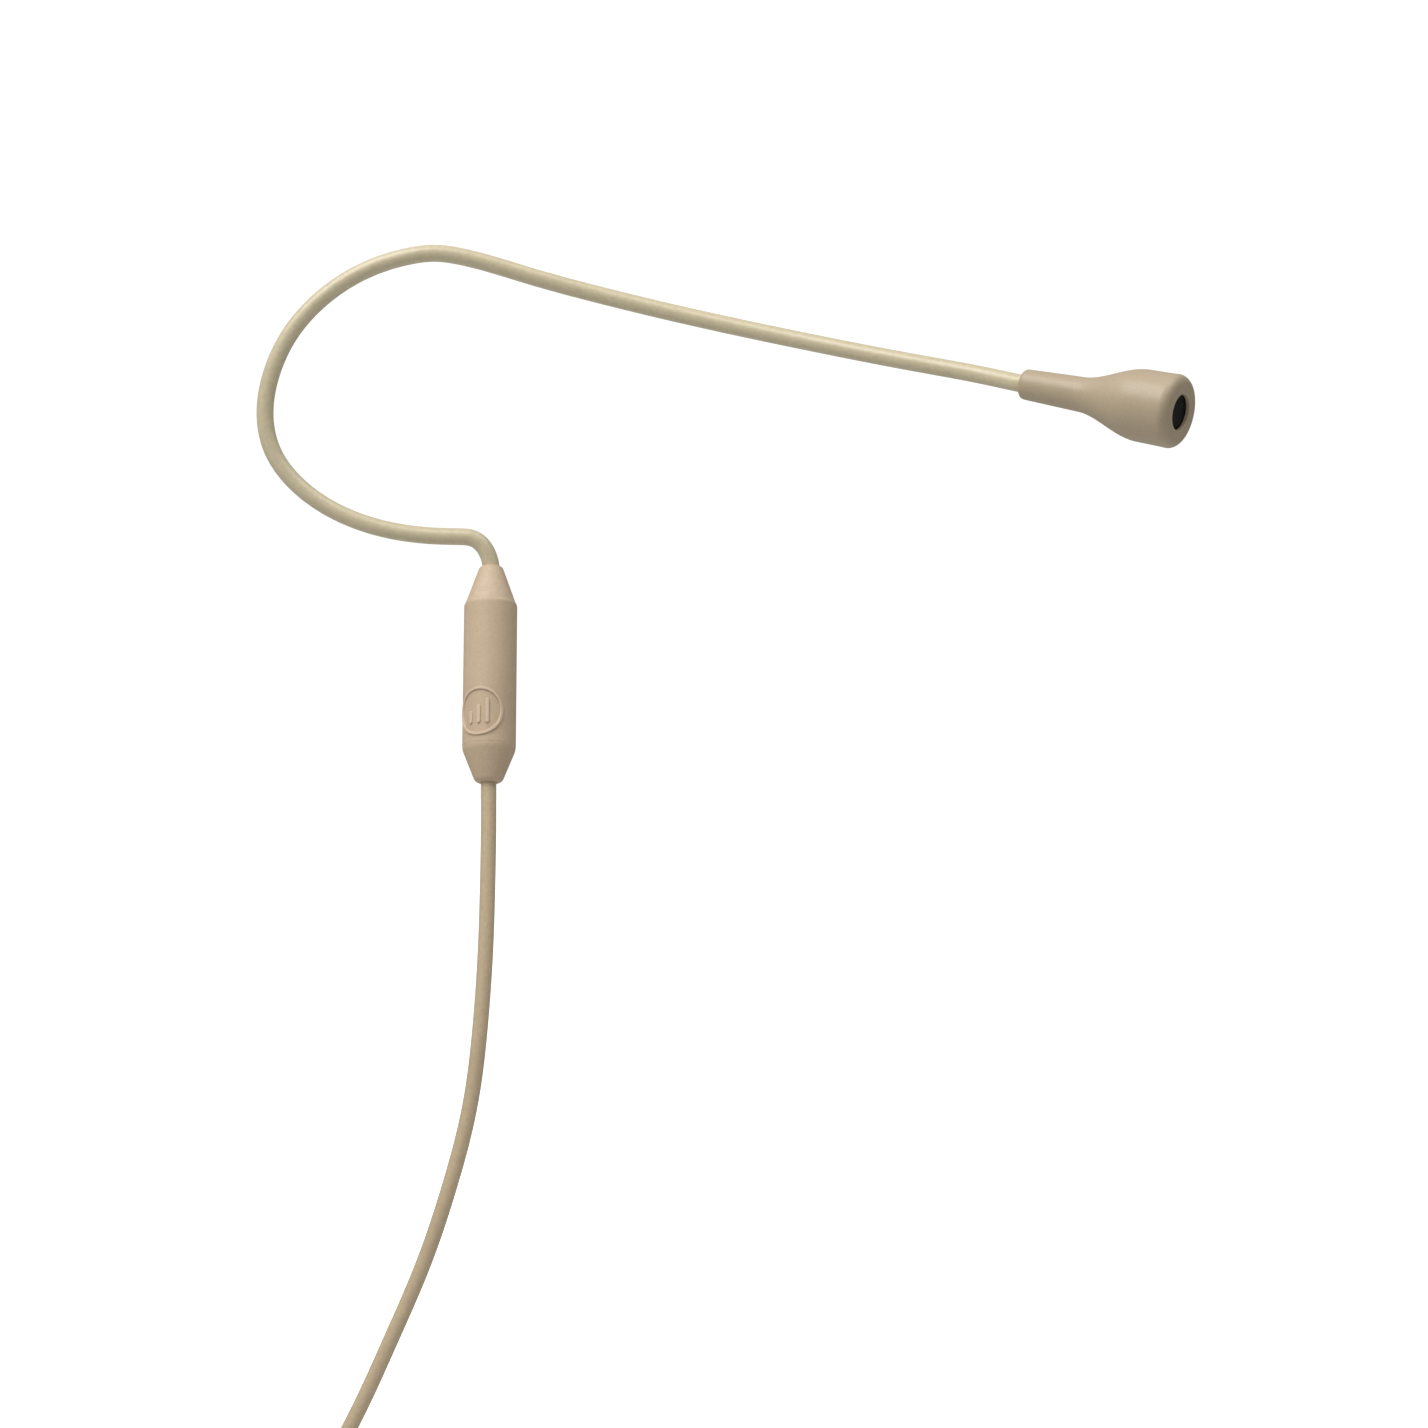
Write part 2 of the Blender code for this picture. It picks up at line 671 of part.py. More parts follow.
def build_junction(pivot, place, lower_place, levels):
    """Caps, barrel, the two crimped anchors and the small board with its filter capacitors."""
    add_turned("upper_end_cap", cap_profile(SHEATH_D), "moulded_shell", pivot, place)
    add_turned("lower_end_cap", cap_profile(CABLE_D), "moulded_shell", pivot, lower_place)
    outside = JUNCTION_D / 2
    inside = outside - BARREL_WALL
    high = -JUNCTION_CONE
    low = JUNCTION_CONE - JUNCTION_LENGTH
    edge = 2 * BARREL_CHAMFER
    barrel = [
        (outside - BARREL_CHAMFER, high),
        (outside, high - edge),
        (outside, low + edge),
        (outside - BARREL_CHAMFER, low),
        (inside, low),
        (inside, high),
    ]
    add_turned("barrel_sleeve", barrel, "moulded_shell", pivot, place, FINE_STEPS)
    add_ring(
        "wire_anchor", ANCHOR_D, SHEATH_D + 2 * WIRE_FIT, -levels["wire_anchor_end"],
        -levels["wire_anchor"], "crimp_brass", pivot, place,
    )
    add_ring(
        "cable_anchor", ANCHOR_D, CABLE_D + 2 * CABLE_FIT, -levels["cable_anchor_end"],
        -levels["cable_anchor"], "crimp_brass", pivot, place,
    )
    board_length = levels["board_end"] - levels["board"]
    board_middle = -(levels["board_end"] + levels["board"]) / 2
    add_block(
        "joint_board", (BOARD_THICKNESS, BOARD_WIDTH, board_length), (0.0, 0.0, board_middle),
        "circuit_board", pivot, place,
    )
    width, height, length = CAPACITOR_SIZE
    stand = BOARD_THICKNESS / 2 + SOLDER_GAP + height / 2
    for number, side in ((1, -1), (2, 1)):
        add_block(
            f"rf_capacitor_{number}", (height, width, length),
            (stand, side * CAPACITOR_SPREAD, board_middle), "capacitor_body", pivot, place,
        )
        shift = place @ Matrix.Translation((0.0, side * SPLICE_SPREAD / 2, 0.0))
        add_disc(
            f"splice_wire_{number}", SPLICE_D, -levels["splice_end"], -levels["splice"],
            "lead_jacket", pivot, shift, PIN_STEPS,
        )


# Cable, coil and tie


def coil_sizes():
    """Radii and heights of the coil's outermost and innermost turns."""
    spread = COIL_PITCH * COIL_TURNS_PER_LAYER / 2
    mean = COIL_MEAN_D / 2
    return mean - spread, mean + spread, COIL_PITCH * (COIL_LAYERS - 1)


def build_coil(pivot, entry):
    """One ring of the coil's outer shape, entered at its -Y side, and the tie round it at -X."""
    inner_turn, outer_turn, rise = coil_sizes()
    half = CABLE_D / 2
    centre = Vector(entry) + Vector((0.0, outer_turn, 0.0))
    inside = inner_turn - half
    outside = outer_turn + half
    high = rise + half
    low = -half
    ring = [
        (outside - COIL_CORNER, high),
        (outside, high - COIL_CORNER),
        (outside, low + COIL_CORNER),
        (outside - COIL_CORNER, low),
        (inside + COIL_CORNER, low),
        (inside, low + COIL_CORNER),
        (inside, high - COIL_CORNER),
        (inside + COIL_CORNER, high),
    ]
    place = Matrix.Translation(centre)
    add_turned("cable_coil", ring, "cable_jacket", pivot, place, FINE_STEPS)
    left = -(outside + TIE_FIT)
    right = -(inside - TIE_FIT_INSIDE)
    bottom = low - TIE_FIT
    top = high + TIE_FIT
    room = (right - left, 4 * TIE_WIDTH, top - bottom)
    middle = ((left + right) / 2, 0.0, (bottom + top) / 2)
    band = (room[0] + 2 * TIE_THICKNESS, TIE_WIDTH, room[2] + 2 * TIE_THICKNESS)
    tie = add_block("coil_tie", band, middle, "tie_fabric", pivot, place)
    hole = add_block("coil_tie_hole", room, middle, "tie_fabric", pivot, place)
    cut(tie, hole)
    return centre, outside


def clear_of_ring(points, centre, outside):
    """Keeps the points of a cable stretch that stay clear of the coil's ring."""
    flat = np.linalg.norm(points[:, :2] - np.array(centre)[:2], axis=1)
    return points[flat > outside + CABLE_D / 2 + TOUCH_GAP]


def build_cable(pivot, levels):
    """The hanging cable, its coil and the tail that runs on to the plug; returns the plug's place."""
    end = Vector(along(JUNCTION_TOP, JUNCTION_AXIS, JUNCTION_LENGTH))
    entry = end + Vector(COIL_ENTRY)
    inside = along(JUNCTION_TOP, JUNCTION_AXIS, levels["cable_start"])
    points = [inside, tuple(end)] + [tuple(end + Vector(step)) for step in CABLE_ROUTE] + [tuple(entry)]
    route = Route(points)
    centre, outside = build_coil(pivot, entry)
    hanging = clear_of_ring(route.stretch(0.0, route.length, CABLE_STEP), centre, outside)
    add_curve("cable", hanging, CABLE_D, "cable_jacket", pivot)

    _, outer_turn, rise = coil_sizes()
    leave = centre + Vector((0.0, outer_turn, rise))
    floor = centre.z - CABLE_D / 2 - TIE_FIT - TIE_THICKNESS
    plug = Vector((centre.x + PLUG_OFFSET[0], centre.y + PLUG_OFFSET[1], floor + PLUG_LIFT))
    clamp_end = RELIEF_LENGTH + RELIEF_FLANGE + CLAMP_LENGTH + 3 * STACK_GAP
    bow = Vector((0.0, TAIL_BOW_SIDE, -TAIL_BOW_HEIGHT))
    tail_route = Route([
        tuple(leave),
        tuple(leave.lerp(plug, TAIL_BOW_SHARE) - bow),
        tuple(leave.lerp(plug, 1.0 - TAIL_BOW_SHARE) + bow),
        tuple(plug),
        tuple(plug + Vector((TAIL_STRAIGHT, 0.0, 0.0))),
        tuple(plug + Vector((clamp_end, 0.0, 0.0))),
    ])
    tail = clear_of_ring(tail_route.stretch(0.0, tail_route.length, CABLE_STEP / 2), centre, outside)
    add_curve("cable_tail", tail, CABLE_D, "cable_jacket", pivot)
    return plug, clamp_end


# Plug


def build_plug(pivot, origin, cable_end):
    """Shell, back nut, bend relief, clamp, insulator and pins, with +Z of the frame towards the front."""
    place = frame_along(origin, (1.0, 0.0, 0.0))
    bore = CABLE_D / 2 + CABLE_FIT
    relief = [
        (RELIEF_FLANGE_D / 2, RELIEF_LENGTH + RELIEF_FLANGE),
        (RELIEF_FLANGE_D / 2, RELIEF_LENGTH),
        (RELIEF_HEAD_D / 2, RELIEF_LENGTH),
        (RELIEF_TAIL_D / 2, 0.0),
        (bore, 0.0),
        (bore, RELIEF_LENGTH + RELIEF_FLANGE),
    ]
    add_turned("plug_bend_relief", relief, "plug_rubber", pivot, place)

    nut_rear = RELIEF_LENGTH - STACK_GAP - NUT_FLOOR
    nut_front = nut_rear + NUT_LENGTH
    nut_room = NUT_D / 2 - NUT_WALL
    nut_hole = RELIEF_HEAD_D / 2 + STACK_GAP
    nut = [
        (NUT_D / 2, nut_front),
        (NUT_D / 2, nut_rear + NUT_EDGE),
        (NUT_D / 2 - NUT_EDGE, nut_rear),
        (nut_hole, nut_rear),
        (nut_hole, nut_rear + NUT_FLOOR),
        (nut_room, nut_rear + NUT_FLOOR),
        (nut_room, nut_front),
    ]
    add_turned("plug_back_nut", nut, "plug_metal", pivot, place)
    clamp_rear = RELIEF_LENGTH + RELIEF_FLANGE + STACK_GAP
    add_ring(
        "plug_clamp", CLAMP_D, 2 * bore, clamp_rear, clamp_rear + CLAMP_LENGTH,
        "crimp_brass", pivot, place,
    )

    collar_rear = nut_front + STACK_GAP
    collar_front = collar_rear + COLLAR_LENGTH
    nose_front = collar_front + NOSE_LENGTH
    nose_bore = NOSE_D / 2 - NOSE_WALL
    shell = [
        (NOSE_D / 2 - NOSE_EDGE, nose_front),
        (NOSE_D / 2, nose_front - NOSE_EDGE),
        (NOSE_D / 2, collar_front),
        (NUT_D / 2, collar_front),
        (NUT_D / 2, collar_rear),
        (nose_bore, collar_rear),
        (nose_bore, nose_front),
    ]
    add_turned("plug_shell", shell, "plug_metal", pivot, place)

    insert_front = nose_front - INSERT_RECESS
    insert_rear = insert_front - INSERT_LENGTH
    insert_d = 2 * (nose_bore - INSERT_FIT)
    insert = add_disc(
        "plug_insert", insert_d, insert_rear, insert_front, "black_plastic", pivot, place, ROUND_STEPS
    )
    pin_rear = insert_rear - PIN_TAIL
    pin_front = insert_front + PIN_REACH
    for number in range(PIN_COUNT):
        turn = math.tau * (number + 0.5) / PIN_COUNT
        aside = (PIN_CIRCLE_D / 2 * math.cos(turn), PIN_CIRCLE_D / 2 * math.sin(turn), 0.0)
        pin_place = place @ Matrix.Translation(aside)
        add_disc(f"plug_pin_{number + 1}", PIN_D, pin_rear, pin_front, "pin_gold", pivot, pin_place, PIN_STEPS)
        hole = add_disc(
            f"pin_hole_{number + 1}", PIN_D + 2 * PIN_FIT, insert_rear - PIN_TAIL,
            insert_front + PIN_TAIL, "black_plastic", pivot, pin_place, PIN_STEPS,
        )
        cut(insert, hole)
    for number, side in ((1, -1), (2, 1)):
        start = Vector((cable_end + STACK_GAP, side * PLUG_LEAD_SPREAD, 0.0))
        turn = math.tau * (0.5 if side > 0 else -0.5) / PIN_COUNT
        finish_at = Vector((pin_rear - STACK_GAP, PIN_CIRCLE_D / 2 * math.sin(turn),
                            PIN_CIRCLE_D / 2 * math.cos(turn)))
        share = PLUG_LEAD_STRAIGHT_SHARE
        ends = [start, start.lerp(finish_at, share), start.lerp(finish_at, 1 - share), finish_at]
        ends[1].y = start.y
        ends[1].z = start.z
        ends[2].y = finish_at.y
        ends[2].z = finish_at.z
        route = Route([tuple(Vector(origin) + Vector((p.x, -p.z, p.y))) for p in ends])
        lead = route.stretch(0.0, route.length, PLUG_LEAD_STEP)
        add_curve(f"plug_lead_{number}", lead, PLUG_LEAD_D, "lead_jacket", pivot)
    return place, collar_front


def build_lock(pivot, place, collar_front):
    """The sprung sleeve that slides back on the shell to let the plug go."""
    rest = collar_front + SLEEVE_STROKE + TOUCH_GAP
    front = rest + SLEEVE_LENGTH
    bore = NOSE_D / 2 + SLEEVE_BORE_FIT
    room = SLEEVE_D / 2 - SLEEVE_COUNTERBORE_WALL
    step = rest + SLEEVE_COUNTERBORE
    sleeve = [
        (SLEEVE_D / 2 - SLEEVE_EDGE, front),
        (SLEEVE_D / 2, front - SLEEVE_EDGE),
        (SLEEVE_D / 2, rest + SLEEVE_EDGE),
        (SLEEVE_D / 2 - SLEEVE_EDGE / 2, rest),
        (room, rest),
        (room, step),
        (bore, step),
        (bore, front),
    ]
    add_turned("lock_sleeve", sleeve, "plug_metal", pivot, place)
    return collar_front + STACK_GAP, step - STACK_GAP, (bore + room) / 2


def build_spring(pivot, origin, rear, front, radius):
    """Compression spring between the shell's collar and the sleeve's inner step."""
    half = SPRING_WIRE_D / 2
    count = int(SPRING_TURNS * 12) + 1
    share = np.linspace(0.0, 1.0, count)
    turn = share * SPRING_TURNS * math.tau
    x = rear + half + (front - rear - SPRING_WIRE_D) * share
    points = np.column_stack([x, radius * np.cos(turn), radius * np.sin(turn)]) + np.array(origin)
    add_curve("lock_spring", points, SPRING_WIRE_D, "spring_steel", pivot)


def main():
    route = wire_route()
    boot = route.nearest(BOOT_START)
    places = [
        route.nearest(HOOK_FLEX_NEAR),
        route.nearest(BOOM_PITCH_NEAR),
        route.nearest(BOOM_SWING_NEAR),
        boot - TIP_BEND_BEFORE_BOOT,
    ]
    root = make_pivot("hook_origin", (0.0, 0.0, 0.0))
    names = ["pivot_hook_flex", "pivot_boom_pitch", "pivot_boom_swing", "pivot_tip_bend"]
    pivots = [root] + [make_pivot(n, tuple(route.at(s))) for n, s in zip(names, places)]

    capsule_place = frame_along(BOOT_START, BOOT_AXIS)
    boot_depths = build_capsule(pivots[-1], capsule_place)

    levels = junction_levels()
    upward = -Vector(JUNCTION_AXIS)
    junction_place = frame_along(JUNCTION_TOP, upward)
    junction_end = along(JUNCTION_TOP, JUNCTION_AXIS, JUNCTION_LENGTH)
    lower_place = frame_along(junction_end, JUNCTION_AXIS)
    build_junction(root, junction_place, lower_place, levels)
    junction_depths = {
        "sheath": levels["sheath_end"],
        "core_wire": levels["core_end"],
        "lead": levels["lead_end"],
    }
    build_wire(route, pivots, places, junction_depths, boot_depths)

    plug_origin, clamp_end = build_cable(root, levels)
    plug_place, collar_front = build_plug(root, plug_origin, clamp_end)
    slide = make_pivot("pivot_lock_sleeve", plug_origin + Vector((collar_front, 0.0, 0.0)))
    spring_rear, spring_front, spring_radius = build_lock(slide, plug_place, collar_front)
    build_spring(root, plug_origin, spring_rear, spring_front, spring_radius)


clear_scene()
parts = make_collection("headset_microphone")
cutters = make_collection("cutters")
main()
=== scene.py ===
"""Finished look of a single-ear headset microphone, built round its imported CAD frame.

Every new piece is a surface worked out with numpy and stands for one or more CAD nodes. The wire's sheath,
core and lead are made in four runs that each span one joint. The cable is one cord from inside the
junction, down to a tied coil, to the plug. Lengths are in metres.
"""

import json
import logging
import math
from dataclasses import dataclass
from enum import Enum

import bpy
import numpy as np
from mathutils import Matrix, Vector

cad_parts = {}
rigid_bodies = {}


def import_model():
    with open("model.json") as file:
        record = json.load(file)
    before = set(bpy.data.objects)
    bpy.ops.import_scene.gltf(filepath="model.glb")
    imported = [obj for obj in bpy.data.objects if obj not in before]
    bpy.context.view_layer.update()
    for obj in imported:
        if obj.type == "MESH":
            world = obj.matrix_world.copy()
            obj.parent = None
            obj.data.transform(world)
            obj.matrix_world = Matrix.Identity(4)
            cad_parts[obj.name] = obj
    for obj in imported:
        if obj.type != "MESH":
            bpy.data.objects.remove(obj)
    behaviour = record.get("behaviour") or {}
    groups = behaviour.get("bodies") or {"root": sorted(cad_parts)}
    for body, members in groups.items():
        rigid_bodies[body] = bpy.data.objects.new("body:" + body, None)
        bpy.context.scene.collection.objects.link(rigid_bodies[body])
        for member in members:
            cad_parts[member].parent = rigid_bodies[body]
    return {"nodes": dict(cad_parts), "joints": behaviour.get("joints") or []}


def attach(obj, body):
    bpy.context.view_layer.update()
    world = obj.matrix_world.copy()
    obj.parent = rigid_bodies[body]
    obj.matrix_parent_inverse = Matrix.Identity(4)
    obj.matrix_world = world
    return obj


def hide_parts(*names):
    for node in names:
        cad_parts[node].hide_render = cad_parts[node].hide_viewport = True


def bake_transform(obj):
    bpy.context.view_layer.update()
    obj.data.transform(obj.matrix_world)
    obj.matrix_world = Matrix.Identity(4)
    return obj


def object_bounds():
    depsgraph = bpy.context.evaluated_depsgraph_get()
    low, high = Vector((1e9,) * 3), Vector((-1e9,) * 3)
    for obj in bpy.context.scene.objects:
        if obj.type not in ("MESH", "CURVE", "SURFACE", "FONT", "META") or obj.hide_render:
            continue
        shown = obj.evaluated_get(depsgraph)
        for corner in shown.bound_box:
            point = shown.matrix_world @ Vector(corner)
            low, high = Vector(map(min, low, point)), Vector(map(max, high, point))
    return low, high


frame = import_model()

CAD_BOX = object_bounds()
LOG = logging.getLogger("headset_microphone")
# Name of the mesh attribute that holds the raised sign's share; it drives a painted highlight that paints
# the sign lighter.
SIGN_HIGHLIGHT = "relief"

Array = np.ndarray
Colour = tuple[float, float, float]
Inputs = dict[str | int, object]
Node = bpy.types.Node
Obj = bpy.types.Object
Point = tuple[float, float, float]
Socket = bpy.types.NodeSocket
Sockets = bpy.types.NodeOutputs
Tree = bpy.types.NodeTree

# Smooth lines and surfaces


def unit(vectors: Array) -> Array:
    """The directions of vectors, each with length one."""
    return vectors / np.linalg.norm(vectors, axis=-1, keepdims=True)


def ease(share: Array) -> Array:
    """Smooth step: 3t^2 - 2t^3 of the share t held between 0 and 1."""
    held = np.clip(share, 0.0, 1.0)
    return held * held * (3.0 - 2.0 * held)


def columns(*values: Array | float) -> Array:
    """Values side by side along a new last axis, each spread to the shape of the others."""
    return np.stack(np.broadcast_arrays(*values), -1)


def walked(line: Array) -> Array:
    """Distance from a line's first point to each of its points, along the line."""
    return np.concatenate([[0.0], np.cumsum(np.linalg.norm(np.diff(line, axis=0), axis=1))])


def read_along(rows: Array, at: Array, distance: Array | float) -> Array:
    """Rows read at distances, each column straight between its values at the rows' own distances."""
    return np.stack([np.interp(distance, at, column) for column in rows.T], -1)


def directions(line: Array) -> Array:
    """Unit directions along a line of points, by central differences."""
    return unit(np.gradient(line, axis=0))


def full_turn(count: int) -> Array:
    """Evenly spaced angles round a circle, without the last one that would repeat the first."""
    return np.linspace(0.0, math.tau, count, endpoint=False)


def band(value: Array, half_width: float, soft: float) -> Array:
    """One where a value is within the half width of zero, easing to nothing over the soft width."""
    return 1.0 - ease((np.abs(value) - half_width) / soft)


class Route:
    """A natural cubic curve through points, read by distance along it."""

    def __init__(self, points: list[Point], samples: int = 6000) -> None:
        """Solves for the second differences at the points and samples the curve densely.

        Args:
            points: Points that the curve passes through, in order.
            samples: How many samples the curve keeps.
        """
        knots = np.array(points, float)
        at = walked(knots)
        spans = np.linalg.norm(np.diff(knots, axis=0), axis=1)
        count = len(knots)
        inner = np.arange(1, count - 1)
        system = np.eye(count)
        system[inner, inner - 1] = spans[:-1]
        system[inner, inner] = 2.0 * (spans[:-1] + spans[1:])
        system[inner, inner + 1] = spans[1:]
        right = np.zeros((count, 3))
        right[inner] = 6.0 * np.diff(np.diff(knots, axis=0) / spans[:, None], axis=0)
        bend = np.linalg.solve(system, right)
        where = np.linspace(0.0, at[-1], samples)
        span = np.clip(np.searchsorted(at, where, side="right") - 1, 0, count - 2)
        width = spans[span][:, None]
        ahead = (at[span + 1] - where)[:, None]
        behind = (where - at[span])[:, None]
        curve = (bend[span] * ahead**3 + bend[span + 1] * behind**3) / (6.0 * width)
        start = (knots[span] / width - bend[span] * width / 6.0) * ahead
        end = (knots[span + 1] / width - bend[span + 1] * width / 6.0) * behind
        self.points = curve + start + end
        self.distance = walked(self.points)
        self.length = float(self.distance[-1])

    def at(self, distance: Array | float) -> Array:
        """Points at distances along the curve."""
        return read_along(self.points, self.distance, distance)

    def nearest(self, point: Point | Array) -> float:
        """Distance along the curve of its point nearest to the given one."""
        return float(self.distance[np.argmin(np.linalg.norm(self.points - np.array(point), axis=1))])


@dataclass(frozen=True)
class Axis:
    """A place with a direction: local +Z runs along the direction, local +X lies near -Y."""

    origin: Point
    along: Point

    def basis(self) -> Array:
        """Works out the local axes.

        Returns:
            The local X, Y and Z axes, one a row.
        """
        z_axis = unit(np.array(self.along, float))
        side = np.array([0.0, -1.0, 0.0])
        x_axis = unit(side - side @ z_axis * z_axis)
        return np.stack([x_axis, np.cross(z_axis, x_axis), z_axis])

    def place(self, local: Array) -> Array:
        """World points of local ones, whose last axis is x, y, z."""
        return np.array(self.origin, float) + local @ self.basis()

    def beyond(self, distance: float) -> Point:
        """World point at a distance along the direction."""
        return tuple(self.place(np.array([0.0, 0.0, distance])))


def link(name: str, data: bpy.types.ID) -> Obj:
    """Adds an object to the scene.

    Args:
        name: The object's name.
        data: Its mesh, camera or light.

    Returns:
        The object.
    """
    made = bpy.data.objects.new(name, data)
    bpy.context.scene.collection.objects.link(made)
    return made


def build_mesh(name: str, verts: Array, faces: list[Array], sharp: float) -> Obj:
    """Makes a smooth-shaded mesh object whose faces point outwards.

    The signed volume, a third of the sum over triangles of the first corner dotted with the cross product
    of the other two, is positive when faces point outwards, so a negative one turns every face round.

    Args:
        name: The piece's name.
        verts: Vertices, one a row.
        faces: Arrays of faces, each array with one face a row and one corner count.
        sharp: Angle in degrees above which an edge stays sharp.

    Returns:
        The linked object, at the origin.
    """
    fans = [f[:, [0, i, i + 1]] for f in faces for i in range(1, f.shape[1] - 1)]
    corners = verts[np.concatenate(fans)]
    volume = np.einsum("ij,ij->i", corners[:, 0], np.cross(corners[:, 1], corners[:, 2])).sum()
    turned = [f[:, ::-1] if volume < 0.0 else f for f in faces]
    mesh = bpy.data.meshes.new(name)
    mesh.vertices.add(len(verts))
    mesh.vertices.foreach_set("co", verts.astype(np.float32).ravel())
    loops = np.concatenate([f.ravel() for f in turned])
    sizes = np.concatenate([np.full(len(f), f.shape[1]) for f in turned])
    mesh.loops.add(len(loops))
    mesh.loops.foreach_set("vertex_index", loops.astype(np.int32))
    mesh.polygons.add(len(sizes))
    starts = np.concatenate([[0], np.cumsum(sizes)[:-1]])
    mesh.polygons.foreach_set("loop_start", starts.astype(np.int32))
    mesh.update(calc_edges=True)
    mesh.validate()
    mesh.shade_smooth()
    mesh.set_sharp_from_angle(angle=math.radians(sharp))
    return link(name, mesh)


def grid_faces(rows: int, cols: int, closed: bool) -> Array:
    """Quads between neighbouring rings, whose vertices are numbered ring by ring.

    Args:
        rows: Number of rings.
        cols: Number of vertices round each.
        closed: Whether the last ring joins the first.

    Returns:
        One quad a row.
    """
    i = np.arange(rows if closed else rows - 1)[:, None]
    j = np.arange(cols)[None, :]
    below = (i + 1) % rows
    beside = (j + 1) % cols
    quads = columns(i * cols + j, i * cols + beside, below * cols + beside, below * cols + j)
    return quads.reshape(-1, 4)


def rod_surface(name: str, rings: Array, sharp: float = 32.0) -> Obj:
    """Closes a stack of rings into a solid with a fan of triangles over each end.

    Args:
        name: The piece's name.
        rings: Points with axes ring, place round the ring, and x, y, z.
        sharp: Angle in degrees above which an edge stays sharp.

    Returns:
        The object.
    """
    rows, cols = rings.shape[:2]
    verts = np.concatenate([rings.reshape(-1, 3), rings[[0, -1]].mean(axis=1)])
    around = np.arange(cols)
    after = (around + 1) % cols
    base = (rows - 1) * cols
    first = columns(rows * cols, after, around)
    last = columns(rows * cols + 1, base + around, base + after)
    return build_mesh(name, verts, [grid_faces(rows, cols, False), np.concatenate([first, last])], sharp)


def loop_surface(name: str, rings: Array, sharp: float = 32.0) -> Obj:
    """Closes rings that come back to the first one, as the wall of a tube or shell does."""
    return build_mesh(name, rings.reshape(-1, 3), [grid_faces(*rings.shape[:2], True)], sharp)


def swept_rings(line: Array, across: Array, radius: float, sides: int) -> Array:
    """Rings of a round tube: the line plus radius times cosine and sine along two axes across it.

    Args:
        line: Points of the middle line, one a row.
        across: A direction roughly across the line at each point.
        radius: The tube's radius.
        sides: Vertices round each ring.

    Returns:
        Points with axes ring, place round the ring, and x, y, z.
    """
    tangent = directions(line)
    side = unit(across - np.sum(across * tangent, axis=1, keepdims=True) * tangent)
    other = np.cross(tangent, side)[:, None, :]
    turn = full_turn(sides)[None, :, None]
    return line[:, None, :] + radius * (np.cos(turn) * side[:, None, :] + np.sin(turn) * other)


def rounded(corners: list[tuple[float, float, float]], steps: int, closed: bool = True) -> Array:
    """Rounds the corners of an outline, each by a parabola from a cut before it to a cut after it.

    A point on the parabola is (1-t)^2 A + 2t(1-t) P + t^2 B, where P is the corner and A and B lie on its
    two sides at the cut distance.

    Args:
        corners: Radius, height and cut distance of each corner, in order.
        steps: Points on each rounded corner.
        closed: Whether the outline is a loop. Where it isn't, its two ends stay as they are.

    Returns:
        Radius and height of each point, one a row.
    """
    places = np.array([corner[:2] for corner in corners])
    share = np.linspace(0.0, 1.0, steps)[:, None]
    outline = []
    for i, (_, _, cut) in enumerate(corners):
        corner = places[i]
        is_end = not closed and i in (0, len(corners) - 1)
        if cut <= 0.0 or is_end:
            outline.append(corner[None, :])
            continue
        before = unit(places[i - 1] - corner) * cut + corner
        after = unit(places[(i + 1) % len(places)] - corner) * cut + corner
        outline.append((1 - share) ** 2 * before + 2 * share * (1 - share) * corner + share**2 * after)
    return np.concatenate(outline)


def turned_rings(axis: Axis, outline: Array, turn: Array, swell: Array | float = 0.0) -> Array:
    """Rings of an outline of radius and height: radius plus swell, times cosine and sine of the angles."""
    radius = outline[:, :1] + swell
    return axis.place(columns(radius * np.cos(turn), radius * np.sin(turn), outline[:, 1:]))


# Finishes


def linear(*shown: int) -> Colour:
    """Turns a displayed colour into a linear one.

    Args:
        *shown: Red, green and blue from 0 to 255.

    Returns:
        The linear colour, from 0 to 1.
    """
    share = np.array(shown) / 255.0
    bright = ((share + 0.055) / 1.055) ** 2.4
    return tuple(np.where(share <= 0.04045, share / 12.92, bright).tolist())


def constant(value: object) -> object:
    """A socket's own value, where a colour of three numbers also gets its alpha."""
    return (*value, 1.0) if isinstance(value, tuple) else value


